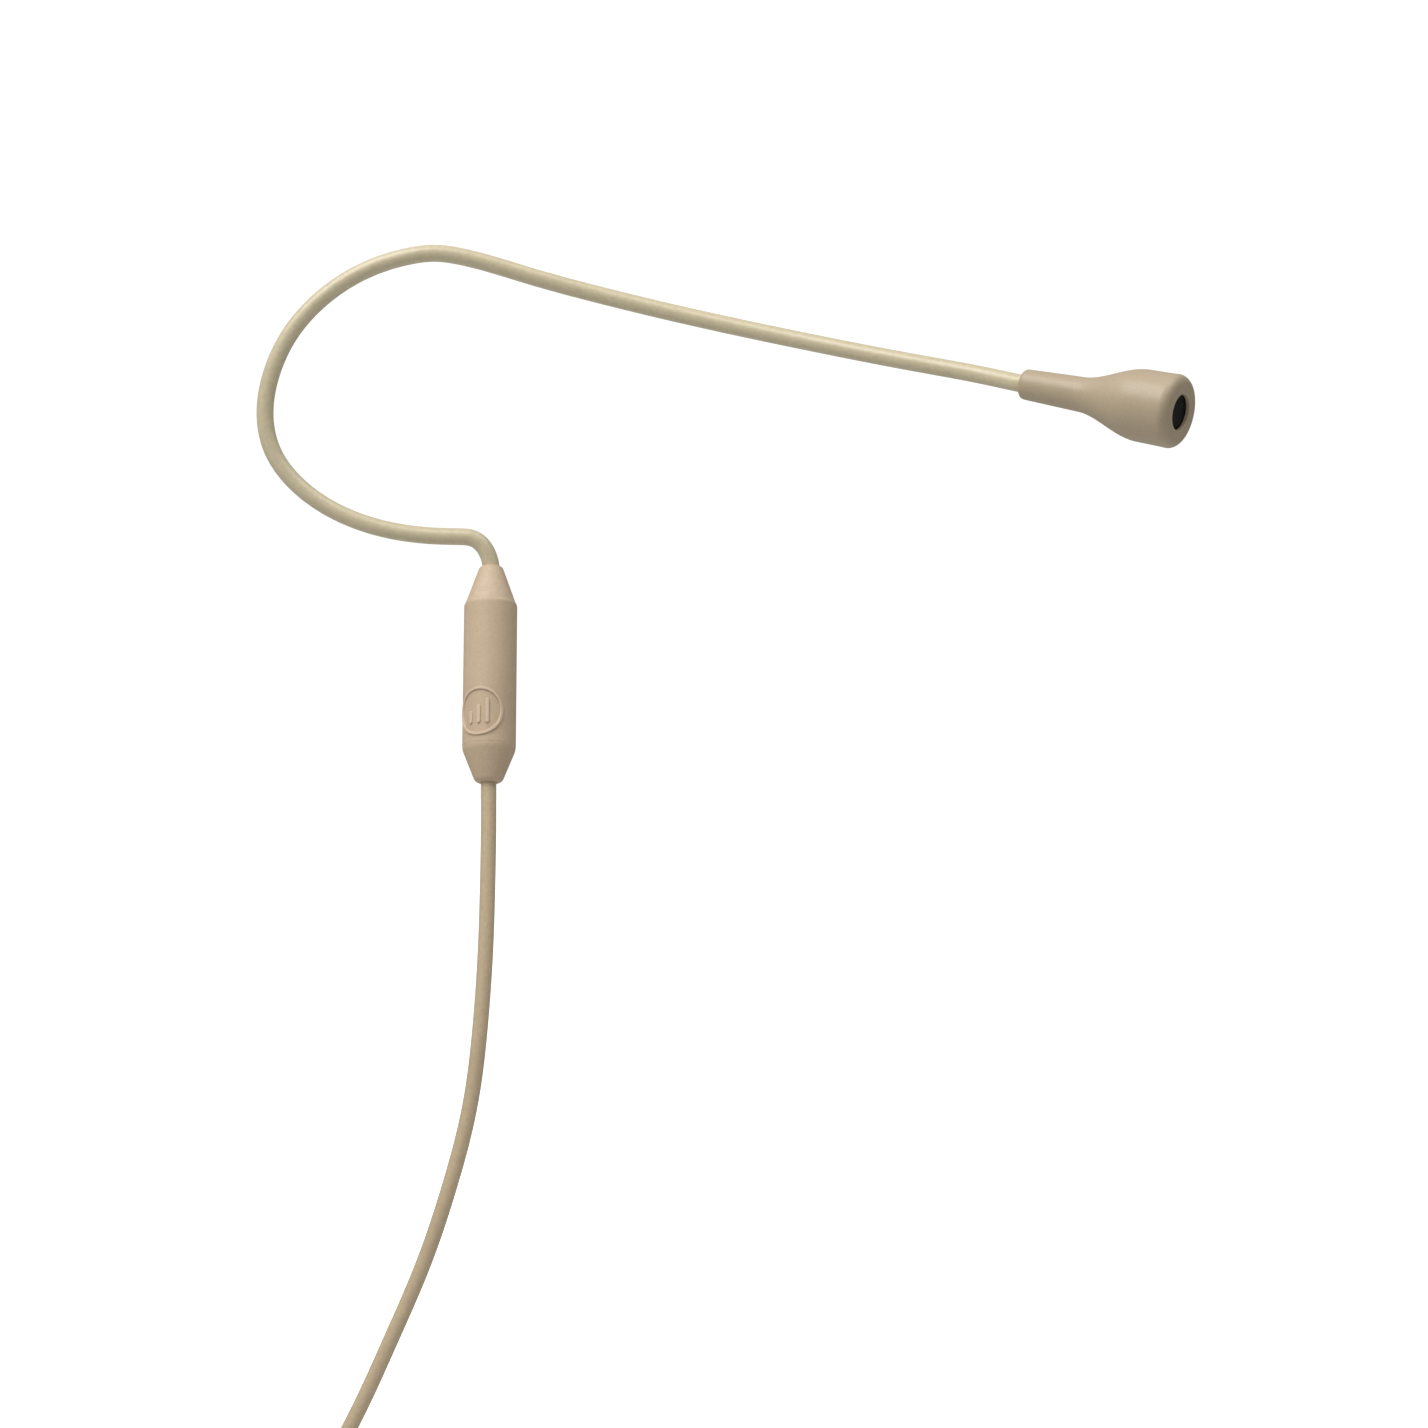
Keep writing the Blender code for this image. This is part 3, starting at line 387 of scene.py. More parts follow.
class NodeSheet:
    """Short-hand for adding linked nodes to one node tree."""

    def __init__(self, tree: Tree) -> None:
        """Keeps the material's or group's tree that nodes are added to."""
        self.tree = tree

    def fill(self, node: Node, inputs: Inputs) -> None:
        """Links or sets a node's inputs.

        Args:
            node: The node.
            inputs: Input name or number to a socket, a number or a colour.
        """
        for key, value in inputs.items():
            if isinstance(value, Socket):
                self.tree.links.new(value, node.inputs[key])
            else:
                node.inputs[key].default_value = constant(value)

    def add(self, kind: str, inputs: Inputs | None = None, **settings: object) -> Node:
        """Adds a node.

        Args:
            kind: The node's type name.
            inputs: Input name or number to a socket, a number or a colour.
            **settings: Properties of the node.

        Returns:
            The node.
        """
        node = self.tree.nodes.new(kind)
        for name, value in settings.items():
            setattr(node, name, value)
        self.fill(node, inputs or {})
        return node

    def place(self, group: Tree, inputs: Inputs) -> Sockets:
        """Places a node group and returns its outputs."""
        return self.add("ShaderNodeGroup", inputs, node_tree=group).outputs

    def math(self, operation: str, first: object, second: object = 0.0) -> Socket:
        """Result of an operation on sockets or numbers."""
        return self.add("ShaderNodeMath", {0: first, 1: second}, operation=operation).outputs[0]

    def times(self, first: object, second: object) -> Socket:
        """Product of two sockets or numbers."""
        return self.math("MULTIPLY", first, second)

    def noise(self, vector: Socket, scale: object, detail: float, rough: float = 0.5) -> Socket:
        """Noise with a scale of features a metre, some octaves of detail and their roughness."""
        inputs = {"Vector": vector, "Scale": scale, "Detail": detail, "Roughness": rough}
        return self.add("ShaderNodeTexNoise", inputs).outputs["Fac"]

    def remap(self, value: Socket, low: float, high: float,
              to_low: float = 0.0, to_high: float = 1.0) -> Socket:
        """Value whose range from low to high is mapped on to another and held there."""
        inputs = {"Value": value, "From Min": low, "From Max": high, "To Min": to_low, "To Max": to_high}
        return self.add("ShaderNodeMapRange", inputs, clamp=True).outputs["Result"]

    def mix(self, share: object, first: object, second: object, blend: str = "MIX") -> Socket:
        """First colour mixed with a share of the second by the named rule."""
        inputs = {0: share, 6: first, 7: second}
        return self.add("ShaderNodeMix", inputs, data_type="RGBA", blend_type=blend).outputs[2]


def start_group(name: str, inputs: dict[str, object], **outputs: str) -> tuple[NodeSheet, Sockets]:
    """Starts a shader node group with named sockets.

    Args:
        name: The group's name.
        inputs: Name of each input to its first value: a number, a colour, or None for a vector.
        **outputs: Name of each output to its socket's kind.

    Returns:
        The group's sheet, and the sockets of its inputs.
    """
    tree = bpy.data.node_groups.new(name, "ShaderNodeTree")
    for label, value in inputs.items():
        kind = "Vector" if value is None else "Color" if isinstance(value, tuple) else "Float"
        socket = tree.interface.new_socket(name=label, in_out="INPUT", socket_type=f"NodeSocket{kind}")
        if value is not None:
            socket.default_value = constant(value)
    for label, kind in outputs.items():
        tree.interface.new_socket(name=label, in_out="OUTPUT", socket_type=f"NodeSocket{kind}")
    sheet = NodeSheet(tree)
    return sheet, sheet.add("NodeGroupInput").outputs


def grain_group() -> Tree:
    """Moulded grain: a fine grain over broad clouds, for colour, roughness and height.

    Returns:
        The group's tree.
    """
    first = {
        "Vector": None, "Base": (0.5, 0.5, 0.5), "Tint": (0.4, 0.4, 0.4), "Mottle": 0.4,
        "Grain Scale": 3000.0, "Roughness": 0.5, "Roughness Spread": 0.1,
    }
    sheet, given = start_group("moulded_grain", first, Color="Color", Roughness="Float", Height="Float")
    clouds = sheet.noise(given["Vector"], 130.0, 3.0)
    drift = sheet.noise(given["Vector"], 28.0, 2.0)
    grain = sheet.noise(given["Vector"], given["Grain Scale"], 3.0, 0.6)
    blotch = sheet.times(sheet.remap(clouds, 0.3, 0.7), given["Mottle"])
    tinted = sheet.mix(blotch, given["Base"], given["Tint"])
    faded = sheet.mix(sheet.remap(drift, 0.3, 0.7, 0.0, 0.10), tinted, (0.9, 0.85, 0.78), "SOFT_LIGHT")
    speckle = sheet.remap(grain, 0.3, 0.7, 0.93, 1.05)
    shade = sheet.add("ShaderNodeCombineColor", {0: speckle, 1: speckle, 2: speckle}).outputs[0]
    colour = sheet.mix(1.0, faded, shade, "MULTIPLY")
    swing = sheet.times(sheet.math("SUBTRACT", clouds, 0.5), given["Roughness Spread"])
    fine = sheet.times(sheet.math("SUBTRACT", grain, 0.5), given["Roughness Spread"])
    rough = sheet.math("ADD", given["Roughness"], sheet.math("ADD", swing, fine))
    sheet.add("NodeGroupOutput", {"Color": colour, "Roughness": rough, "Height": grain})
    return sheet.tree


def wear_group() -> Tree:
    """Edge wear: where the surface is convex, broken up by noise.

    Returns:
        The group's tree.
    """
    first = {"Vector": None, "Amount": 0.5, "Breakup Scale": 900.0}
    sheet, given = start_group("edge_wear", first, Mask="Float")
    convex = sheet.add("ShaderNodeNewGeometry").outputs["Pointiness"]
    broken = sheet.remap(sheet.noise(given["Vector"], given["Breakup Scale"], 4.0), 0.38, 0.62)
    mask = sheet.times(sheet.times(sheet.remap(convex, 0.52, 0.60), broken), given["Amount"])
    sheet.add("NodeGroupOutput", {"Mask": mask})
    return sheet.tree


def handling_group() -> Tree:
    """Handling: faint fingered patches that darken the colour a little and add gloss.

    Returns:
        The group's tree.
    """
    first = {
        "Vector": None, "Color": (0.5, 0.5, 0.5), "Soil": (0.2, 0.15, 0.1), "Roughness": 0.5, "Amount": 0.2,
    }
    sheet, given = start_group("handling", first, Color="Color", Roughness="Float")
    patch = sheet.remap(sheet.noise(given["Vector"], 75.0, 4.0, 0.6), 0.5, 0.72)
    amount = sheet.times(patch, given["Amount"])
    colour = sheet.mix(amount, given["Color"], given["Soil"], "MULTIPLY")
    polish = sheet.math("SUBTRACT", given["Roughness"], sheet.times(amount, 0.25))
    sheet.add("NodeGroupOutput", {"Color": colour, "Roughness": polish})
    return sheet.tree


def weave_group() -> Tree:
    """Plain weave: crossed threads that pass over and under each other in a square pattern, and a mask of
    the gaps between them where shade is painted.

    Returns:
        The group's tree.
    """
    first = {"Vector": None, "Threads": 2000.0}
    sheet, given = start_group("plain_weave", first, Height="Float", Gap="Float")
    scaled = sheet.add("ShaderNodeVectorMath", {0: given["Vector"], 3: given["Threads"]}, operation="SCALE")
    split = sheet.add("ShaderNodeSeparateXYZ", {0: scaled.outputs[0]}).outputs
    across, along = (sheet.math("SINE", sheet.times(split[way], math.pi)) for way in ("X", "Y"))
    over = sheet.times(across, along)
    # Mask of the gaps between threads, used for painted shade.
    gap = sheet.remap(sheet.math("ABSOLUTE", over), 0.0, 0.35, 1.0, 0.0)
    sheet.add("NodeGroupOutput", {"Height": sheet.remap(over, -1.0, 1.0), "Gap": gap})
    return sheet.tree


GRAIN = grain_group()
WEAR = wear_group()
HANDLING = handling_group()
WEAVE = weave_group()


class Coordinates(Enum):
    """Which coordinates a finish's pattern follows."""

    OBJECT = "Object"
    UV = "UV"


@dataclass(frozen=True)
class Finish:
    """One finish: a moulded, drawn or plated surface with grain, handling, edge wear, a painted highlight on
    raised relief and painted shade in a weave's gaps.
    """

    slot: str
    colour: Colour
    tint: Colour
    roughness: float
    metallic: float = 0.0
    mottle: float = 0.35
    grain_scale: float = 3500.0
    grain_depth: float = 0.000012
    roughness_spread: float = 0.10
    soil: float = 0.10
    wear: float = 0.0
    worn_and_highlight_colour: Colour = (0.7, 0.7, 0.7)
    # Share of painted highlight on raised relief: where the relief attribute is raised, the colour is
    # painted towards the lighter wear colour.
    relief: float = 0.0
    coat: float = 0.0
    coat_roughness: float = 0.25
    sheen: float = 0.0
    bump: float = 0.7
    weave_threads: float = 0.0
    weave_depth: float = 0.0
    # Share of painted shade that darkens the gaps between threads.
    weave_gap_shade: float = 0.6
    weave_fuzz: float = 0.5

    def material(self) -> bpy.types.Material:
        """The finish's material, named after its slot and built when it is first asked for.

        Returns:
            The material.
        """
        name = f"finish_{self.slot}"
        if name in bpy.data.materials:
            return bpy.data.materials[name]
        made = bpy.data.materials.new(name)
        made.use_nodes = True
        made.diffuse_color = (*self.colour, 1.0)
        sheet = NodeSheet(made.node_tree)
        kind = Coordinates.UV if self.weave_threads else Coordinates.OBJECT
        where = sheet.add("ShaderNodeTexCoord").outputs[kind.value]
        grain = sheet.place(GRAIN, {
            "Vector": where,
            "Base": self.colour,
            "Tint": self.tint,
            "Mottle": self.mottle,
            "Grain Scale": self.grain_scale,
            "Roughness": self.roughness,
            "Roughness Spread": self.roughness_spread,
        })
        handled = sheet.place(HANDLING, {
            "Vector": where,
            "Color": grain["Color"],
            "Roughness": grain["Roughness"],
            "Amount": self.soil,
        })
        colour = handled["Color"]
        height = grain["Height"]
        depth = self.grain_depth
        if self.wear:
            mask = sheet.place(WEAR, {"Vector": where, "Amount": self.wear})["Mask"]
            colour = sheet.mix(mask, colour, self.worn_and_highlight_colour)
        # Painted highlight: the raised sign is painted lighter, towards the wear colour, to stand in for the
        # light its raised faces catch.
        if self.relief:
            raised = sheet.add("ShaderNodeAttribute", attribute_name=SIGN_HIGHLIGHT).outputs["Fac"]
            colour = sheet.mix(sheet.times(raised, self.relief), colour, self.worn_and_highlight_colour)
        if self.weave_threads:
            weave = sheet.place(WEAVE, {"Vector": where, "Threads": self.weave_threads})
            # Painted shade: the gaps between threads are darkened towards black.
            colour = sheet.mix(sheet.times(weave["Gap"], self.weave_gap_shade), colour, (0.0, 0.0, 0.0))
            height = sheet.math("ADD", weave["Height"], sheet.times(height, self.weave_fuzz))
            depth = self.weave_depth
        bump = sheet.add("ShaderNodeBump", {"Height": height, "Distance": depth, "Strength": self.bump})
        sheet.fill(made.node_tree.nodes["Principled BSDF"], {
            "Base Color": colour,
            "Roughness": handled["Roughness"],
            "Normal": bump.outputs["Normal"],
            "Metallic": self.metallic,
            "Coat Weight": self.coat,
            "Coat Roughness": self.coat_roughness,
            "Sheen Weight": self.sheen,
        })
        return made


SHEATH = Finish(
    "sheath_elastomer", linear(218, 205, 170), linear(211, 195, 158), 0.36,
    mottle=0.10, grain_scale=1500.0, grain_depth=0.000001, soil=0.05, coat=0.25, roughness_spread=0.02,
)
BOOT = Finish(
    "boot_silicone", linear(194, 176, 147), linear(186, 167, 138), 0.46,
    mottle=0.30, grain_scale=4200.0, grain_depth=0.000006, soil=0.08, coat=0.12,
)
# The moulding's raised sign is painted lighter by its relief share, as a painted highlight.
MOULDING = Finish(
    "moulded_shell", linear(211, 188, 157), linear(203, 178, 147), 0.55,
    mottle=0.35, grain_scale=3600.0, grain_depth=0.000010, soil=0.08, wear=0.5,
    worn_and_highlight_colour=linear(232, 208, 184), relief=0.6, coat=0.10,
)
JACKET = Finish(
    "cable_jacket", linear(211, 190, 155), linear(201, 179, 145), 0.45,
    mottle=0.20, grain_scale=1800.0, grain_depth=0.000004, soil=0.08, coat=0.20,
)
STEEL = Finish(
    "spring_steel", linear(190, 190, 190), linear(160, 160, 162), 0.28, metallic=1.0,
    grain_scale=5000.0, grain_depth=0.000004, soil=0.15,
)
LEAD = Finish(
    "lead_jacket", linear(205, 200, 190), linear(190, 184, 172), 0.42, grain_depth=0.000006,
)
CAN = Finish(
    "element_metal", linear(196, 190, 178), linear(170, 164, 150), 0.26, metallic=1.0,
    grain_scale=5200.0, grain_depth=0.000004, soil=0.12, wear=0.3, worn_and_highlight_colour=(0.9, 0.88, 0.84),
)
SCREEN = Finish(
    "screen_mesh", linear(34, 38, 35), linear(22, 25, 23), 0.50, metallic=0.6,
    grain_scale=9000.0, grain_depth=0.000006, soil=0.2,
)
FILM = Finish(
    "diaphragm_film", linear(214, 196, 140), linear(200, 180, 120), 0.22, metallic=1.0,
    grain_scale=5000.0, grain_depth=0.000002, soil=0.05,
)
BLACK = Finish(
    "black_plastic", linear(34, 34, 35), linear(24, 24, 25), 0.42,
    grain_scale=5200.0, grain_depth=0.000010, soil=0.2,
)
BOARD = Finish(
    "circuit_board", linear(28, 92, 56), linear(20, 70, 42), 0.40, mottle=0.6,
    grain_scale=7000.0, grain_depth=0.000006, coat=0.4,
)
CERAMIC = Finish(
    "capacitor_body", linear(158, 128, 94), linear(140, 110, 78), 0.42, grain_scale=6500.0,
)
BRASS = Finish(
    "crimp_brass", linear(214, 184, 122), linear(180, 148, 88), 0.30, metallic=1.0,
    grain_scale=4200.0, grain_depth=0.000006, soil=0.25, wear=0.4, worn_and_highlight_colour=(0.92, 0.80, 0.52),
)
# The strap's weave gaps are darkened with painted shade.
STRAP = Finish(
    "tie_fabric", linear(38, 38, 40), linear(24, 24, 26), 0.85, mottle=0.5,
    grain_scale=2500.0, soil=0.1, sheen=0.5, weave_threads=3200.0, weave_depth=0.00009,
)
PLATING = Finish(
    "plug_metal", linear(170, 170, 172), linear(140, 140, 143), 0.30, metallic=1.0,
    grain_scale=4200.0, grain_depth=0.000005, soil=0.25, wear=0.7, worn_and_highlight_colour=(0.85, 0.84, 0.82),
)
PLUG_RUBBER = Finish(
    "plug_rubber", linear(40, 40, 41), linear(30, 30, 31), 0.58,
    grain_scale=3600.0, grain_depth=0.000016, soil=0.2, sheen=0.1,
)
GOLD = Finish(
    "pin_gold", linear(236, 204, 120), linear(220, 184, 96), 0.18, metallic=1.0,
    grain_scale=4500.0, grain_depth=0.000003, soil=0.1,
)

CAD_FINISHES: dict[Finish, tuple[str, ...]] = {
    LEAD: ("splice_wire_1", "splice_wire_2", "plug_lead_1", "plug_lead_2"),
    CAN: ("element_can", "back_plate"),
    FILM: ("diaphragm",),
    BLACK: ("screen_ring", "spacer_ring", "insulator_cup", "plug_insert"),
    BOARD: ("fet_board", "joint_board"),
    CERAMIC: ("rf_capacitor_1", "rf_capacitor_2"),
    BRASS: ("boom_ferrule", "wire_anchor", "cable_anchor", "plug_clamp"),
}


def dress(piece: Obj, finish: Finish) -> None:
    """Gives a piece its finish's material and slot.

    Args:
        piece: The piece.
        finish: Its finish.
    """
    piece.data.materials.clear()
    piece.data.materials.append(finish.material())


def settle(piece: Obj, finish: Finish, body: str, *nodes: str) -> Obj:
    """Dresses a piece, lets it ride on a body and hides the CAD nodes that it stands for.

    Args:
        piece: The piece.
        finish: Its finish.
        body: The CAD body that carries it.
        *nodes: The CAD nodes that it replaces.

    Returns:
        The piece.
    """
    dress(piece, finish)
    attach(piece, body)
    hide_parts(*nodes)
    LOG.info("%s: %d faces, on %s", piece.name, len(piece.data.polygons), body)
    return piece


def stretch(piece: Obj, finish: Finish, bodies: tuple[str, str], ends: tuple[Point, Point],
            *nodes: str) -> Obj:
    """Dresses a piece, bakes its place into its mesh and hides the CAD nodes that it stands for.

    Args:
        piece: The piece.
        finish: Its finish.
        bodies: The two CAD bodies whose joint it spans, named in the log.
        ends: Two points along the piece. Not used.
        *nodes: The CAD nodes that it replaces.

    Returns:
        The piece.
    """
    dress(piece, finish)
    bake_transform(piece)
    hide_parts(*nodes)
    LOG.info("%s: %d faces, from %s to %s", piece.name, len(piece.data.polygons), *bodies)
    return piece


def turned_piece(name: str, axis: Axis, outline: Array, turn: Array, swell: Array | float = 0.0,
                 sharp: float = 40.0) -> Obj:
    """Solid whose wall is a closed outline turned about an axis."""
    return loop_surface(name, turned_rings(axis, outline, turn, swell), sharp)


# Sub-assemblies. BORE_FIT is the room on the radius round what passes through a bore, and EDGE is the cut of
# a lightly broken edge.

JUNCTION_AXIS = Axis((0.0083, 0.0, -0.0443), (0.0062, -0.2492, -0.9684))
JUNCTION_LENGTH = 0.0321
BOOT_AXIS = Axis((0.0835, -0.0210, -0.0200), (0.8148, -0.5377, -0.2151))
WIRE_D = 0.00245
CABLE_D = 0.0022
BORE_FIT = 0.00003
EDGE = 0.0001


@dataclass(frozen=True)
class Strand:
    """One part of the wire: its size, and how far it runs into the junction and into the boot."""

    label: str
    finish: Finish
    diameter: float
    into_junction: float
    into_boot: float
    wall: float = 0.0
    sides: int = 16

    def run(self, name: str, line: Array, across: Array) -> Obj:
        """One run: a rod, or with a wall the outer rings out and the inner rings back.

        Args:
            name: The piece's name.
            line: Its middle line.
            across: Direction across the line at each point.

        Returns:
            The piece.
        """
        outer = swept_rings(line, across, self.diameter / 2, self.sides)
        if not self.wall:
            return rod_surface(name, outer)
        inner = swept_rings(line, across, self.diameter / 2 - self.wall, self.sides)
        return loop_surface(name, np.concatenate([outer, inner[::-1]]))


@dataclass
class FormableWire:
    """The sheathed wire from the junction over the ear to the boot, in four runs, one across each joint."""

    sheath: Strand = Strand("sheath", SHEATH, WIRE_D, 0.01095, 0.0080, wall=0.0003, sides=48)
    core: Strand = Strand("core_wire", STEEL, 0.0007, 0.01145, 0.0124)
    lead: Strand = Strand("lead", LEAD, 0.0005, 0.01195, 0.01755)
    spacing: float = 0.0005
    joints: tuple[str, ...] = ("hook_flex", "boom_pitch", "boom_swing", "tip_bend")
    blend_reach: tuple[float, ...] = (0.0060, 0.0040, 0.0040, 0.0045)
    stretches: tuple[str, ...] = ("lower_hook", "upper_hook", "boom_root", "boom", "tip")
    junction_depths: tuple[float, ...] = (0.0140, 0.0070, 0.0030)
    boot_depths: tuple[float, ...] = (0.0040, 0.0090, 0.0140, 0.0187)
    points: tuple[Point, ...] = (
        (0.0077, 0.0000, -0.0422), (0.0067, 0.0000, -0.0408), (0.0055, 0.0000, -0.0401),
        (0.0038, 0.0000, -0.0399), (0.0003, 0.0000, -0.0398), (-0.0067, 0.0000, -0.0389),
        (-0.0133, 0.0000, -0.0367), (-0.0192, 0.0000, -0.0329), (-0.0235, 0.0000, -0.0272),
        (-0.0245, 0.0000, -0.0220), (-0.0237, 0.0000, -0.0167), (-0.0208, 0.0000, -0.0104),
        (-0.0161, 0.0000, -0.0052), (-0.0102, 0.0000, -0.0014), (-0.0035, 0.0000, 0.0008),
        (0.0000, 0.0000, 0.0012), (0.0035, 0.0000, 0.0008), (0.0069, 0.0000, 0.0000),
        (0.0136, 0.0000, -0.0020), (0.0237, -0.0003, -0.0048), (0.0389, -0.0024, -0.0087),
        (0.0540, -0.0063, -0.0124), (0.0688, -0.0120, -0.0160), (0.0784, -0.0169, -0.0184),
    )

    def route(self) -> Route:
        """Middle line from inside the junction, over the ear, to inside the boot.

        Returns:
            The route.
        """
        inside = [JUNCTION_AXIS.beyond(depth) for depth in self.junction_depths]
        onward = [BOOT_AXIS.beyond(depth) for depth in self.boot_depths]
        return Route([*inside, JUNCTION_AXIS.origin, *self.points, BOOT_AXIS.origin, *onward])

    def strand_line(self, route: Route, start: float, end: float, aside: float) -> tuple[Array, Array]:
        """Middle line of one strand, moved aside across the route towards +Y.

        Args:
            route: The wire's route.
            start: Where the strand starts along it.
            end: Where it ends.
            aside: How far it lies from the route.

        Returns:
            The line's points and the direction across it at each.
        """
        count = max(3, int(round((end - start) / self.spacing)) + 1)
        line = route.at(np.linspace(start, end, count))
        tangent = directions(line)
        across = unit(np.array([0.0, 1.0, 0.0]) - tangent[:, 1:2] * tangent)
        return line + aside * across, across

    def build(self) -> None:
        """Builds sheath, core and lead runs, each spanning one joint."""
        route = self.route()
        joints = {joint["name"]: joint for joint in frame["joints"]}
        pivots = [route.nearest(joints[name]["pos_m"]) for name in self.joints]
        mouth = route.nearest(JUNCTION_AXIS.origin)
        boot = route.nearest(BOOT_AXIS.origin)
        middles = [(a + b) / 2 for a, b in zip(pivots, pivots[1:])]
        bore = self.sheath.diameter / 2 - self.sheath.wall
        gap = (2 * bore - self.core.diameter - self.lead.diameter) / 3
        core_aside = bore - gap - self.core.diameter / 2
        lead_aside = -(bore - gap - self.lead.diameter / 2)
        for i, name in enumerate(self.joints):
            bodies = (joints[name]["parent"], joints[name]["child"])
            reach = self.blend_reach[i]
            ends = (tuple(route.at(pivots[i] - reach)), tuple(route.at(pivots[i] + reach)))
            owned = self.stretches[:2] if i == 0 else self.stretches[i + 1:i + 2]
            for strand, aside in ((self.sheath, 0.0), (self.core, core_aside), (self.lead, lead_aside)):
                start = middles[i - 1] if i else mouth - strand.into_junction
                end = middles[i] if i < len(middles) else boot + strand.into_boot
                piece = strand.run(f"{strand.label}_at_{name}", *self.strand_line(route, start, end, aside))
                stretch(piece, strand.finish, bodies, ends, *[f"{part}_{strand.label}" for part in owned])


@dataclass
class Capsule:
    """The soft boot with its rounded nose and mouth, and the woven screen behind the mouth."""

    length: float = 0.0242
    neck_d: float = 0.0042
    neck_growth: float = 0.0003
    head_d: float = 0.01005
    head_growth: float = 0.0001
    flare_start: float = 0.0088
    flare_length: float = 0.0098
    nose_radius: float = 0.0013
    nose_gap: float = 0.0004
    tail_cut: float = 0.0005
    tail_round: float = 0.00045
    mouth_d: float = 0.00485
    mouth_edge: float = 0.00022
    lip: float = 0.00055
    ferrule_room_d: float = 0.0038
    ferrule_start: float = 0.00815
    element_room_d: float = 0.0064
    element_room_rear: float = 0.01650
    screen_d: float = 0.0060
    screen_front: float = 0.02350
    screen_thickness: float = 0.0003
    screen_relief: float = 0.00012
    screen_plain_rim: float = 0.92
    screen_rim_ease: float = 0.05
    screen_centre: float = 0.00002
    screen_rings: int = 120
    screen_sides: int = 360
    screen_pitch: float = 0.00022
    thread_half: float = 0.36
    thread_round: float = 0.45

    def boot_radius(self, depth: Array) -> Array:
        """Outer radius: a slim neck that eases into the head between flare start and flare end.

        Args:
            depth: Depths from the boot's tail.

        Returns:
            The radii.
        """
        flare = ease((depth - self.flare_start) / self.flare_length)
        neck = self.neck_d / 2 + self.neck_growth * np.minimum(depth / self.flare_start, 1.0)
        flare_end = self.flare_start + self.flare_length
        beyond = np.clip((depth - flare_end) / (self.length - flare_end), 0.0, 1.0)
        head = self.head_d / 2 - self.head_growth * (1.0 - beyond)
        return neck + (head - neck) * flare

    def boot_outline(self) -> Array:
        """Outline of the boot's wall: down the outside from the mouth, then up the inside.

        Returns:
            Radius and height of the outline's points.
        """
        nose = self.length - self.nose_radius
        face = self.head_d / 2 - self.nose_radius
        turn = np.linspace(math.radians(90), 0.0, 14)
        nose_arc = columns(face + self.nose_radius * np.cos(turn), nose + self.nose_radius * np.sin(turn))
        depth = np.linspace(nose - self.nose_gap, self.tail_cut, 90)
        side = columns(self.boot_radius(depth), depth)
        neck = self.neck_d / 2
        bore = WIRE_D / 2 + BORE_FIT
        tail = rounded([
            (neck, self.tail_cut, 0.0), (neck, 0.0, self.tail_round),
            (bore, 0.0, EDGE), (bore, 2 * self.tail_cut, 0.0),
        ], 6, closed=False)[1:]
        mouth = self.mouth_d / 2
        shoulder = self.length - self.lip
        ferrule = self.ferrule_room_d / 2
        room = self.element_room_d / 2
        inside = np.array([
            (bore, self.ferrule_start),
            (ferrule, self.ferrule_start),
            (ferrule, self.element_room_rear),
            (room, self.element_room_rear),
            (room, shoulder),
            (mouth, shoulder),
        ])
        edge = rounded([
            (mouth, shoulder, 0.0), (mouth, self.length, self.mouth_edge), (face, self.length, 0.0),
        ], 7, closed=False)[1:-1]
        return np.concatenate([nose_arc, side, tail, inside, edge])

    def threads(self, aside: Array, along: Array, phase: float) -> Array:
        """Height of one set of round threads, each over one crossing thread and under the next.

        Args:
            aside: Places across the threads.
            along: Places along them.
            phase: Shift of the crossings, in pitches.

        Returns:
            Height from 0 to 1 at each place.
        """
        number = np.round(aside / self.screen_pitch)
        off = (aside / self.screen_pitch - number) / self.thread_half
        round_top = np.sqrt(np.clip(1.0 - off * off, 0.0, 1.0))
        wave = 0.5 + 0.5 * np.cos(math.pi * (along / self.screen_pitch + number + phase))
        height = self.thread_round * round_top + (1.0 - self.thread_round) * wave * round_top
        return np.where(np.abs(off) < 1.0, height, 0.0)

    def build_screen(self) -> Obj:
        """The acoustic screen: a disc whose front is woven wire cloth, plain at its rim.

        Returns:
            The piece.
        """
        turn = full_turn(self.screen_sides)
        radius = np.linspace(self.screen_centre, self.screen_d / 2, self.screen_rings)[:, None]
        x = radius * np.cos(turn)
        y = radius * np.sin(turn)
        beyond = radius - self.screen_plain_rim * self.screen_d / 2
        fade = 1.0 - ease(beyond / (self.screen_rim_ease * self.screen_d))
        weave = np.maximum(self.threads(x, y, 0.0), self.threads(y, x, 1.0))
        front = columns(x, y, self.screen_front - self.screen_relief * (1.0 - weave * fade))
        rear = columns(x[[-1, 0]], y[[-1, 0]], self.screen_front - self.screen_thickness)
        return rod_surface("woven_screen", BOOT_AXIS.place(np.concatenate([front, rear])), 60.0)

    def build(self) -> None:
        """Builds the boot and the screen."""
        boot = turned_piece("soft_boot", BOOT_AXIS, self.boot_outline(), full_turn(128))
        settle(boot, BOOT, "capsule", "capsule_boot")
        settle(self.build_screen(), SCREEN, "capsule", "acoustic_screen")


@dataclass(frozen=True)
class CapShape:
    """One cap: its bore, narrow end, cone, rounding, edge at the barrel and straight shoulder."""

    bore_d: float
    end_d: float
    cone: float
    end_cut: float
    chamfer: float
    shoulder: float = 0.0


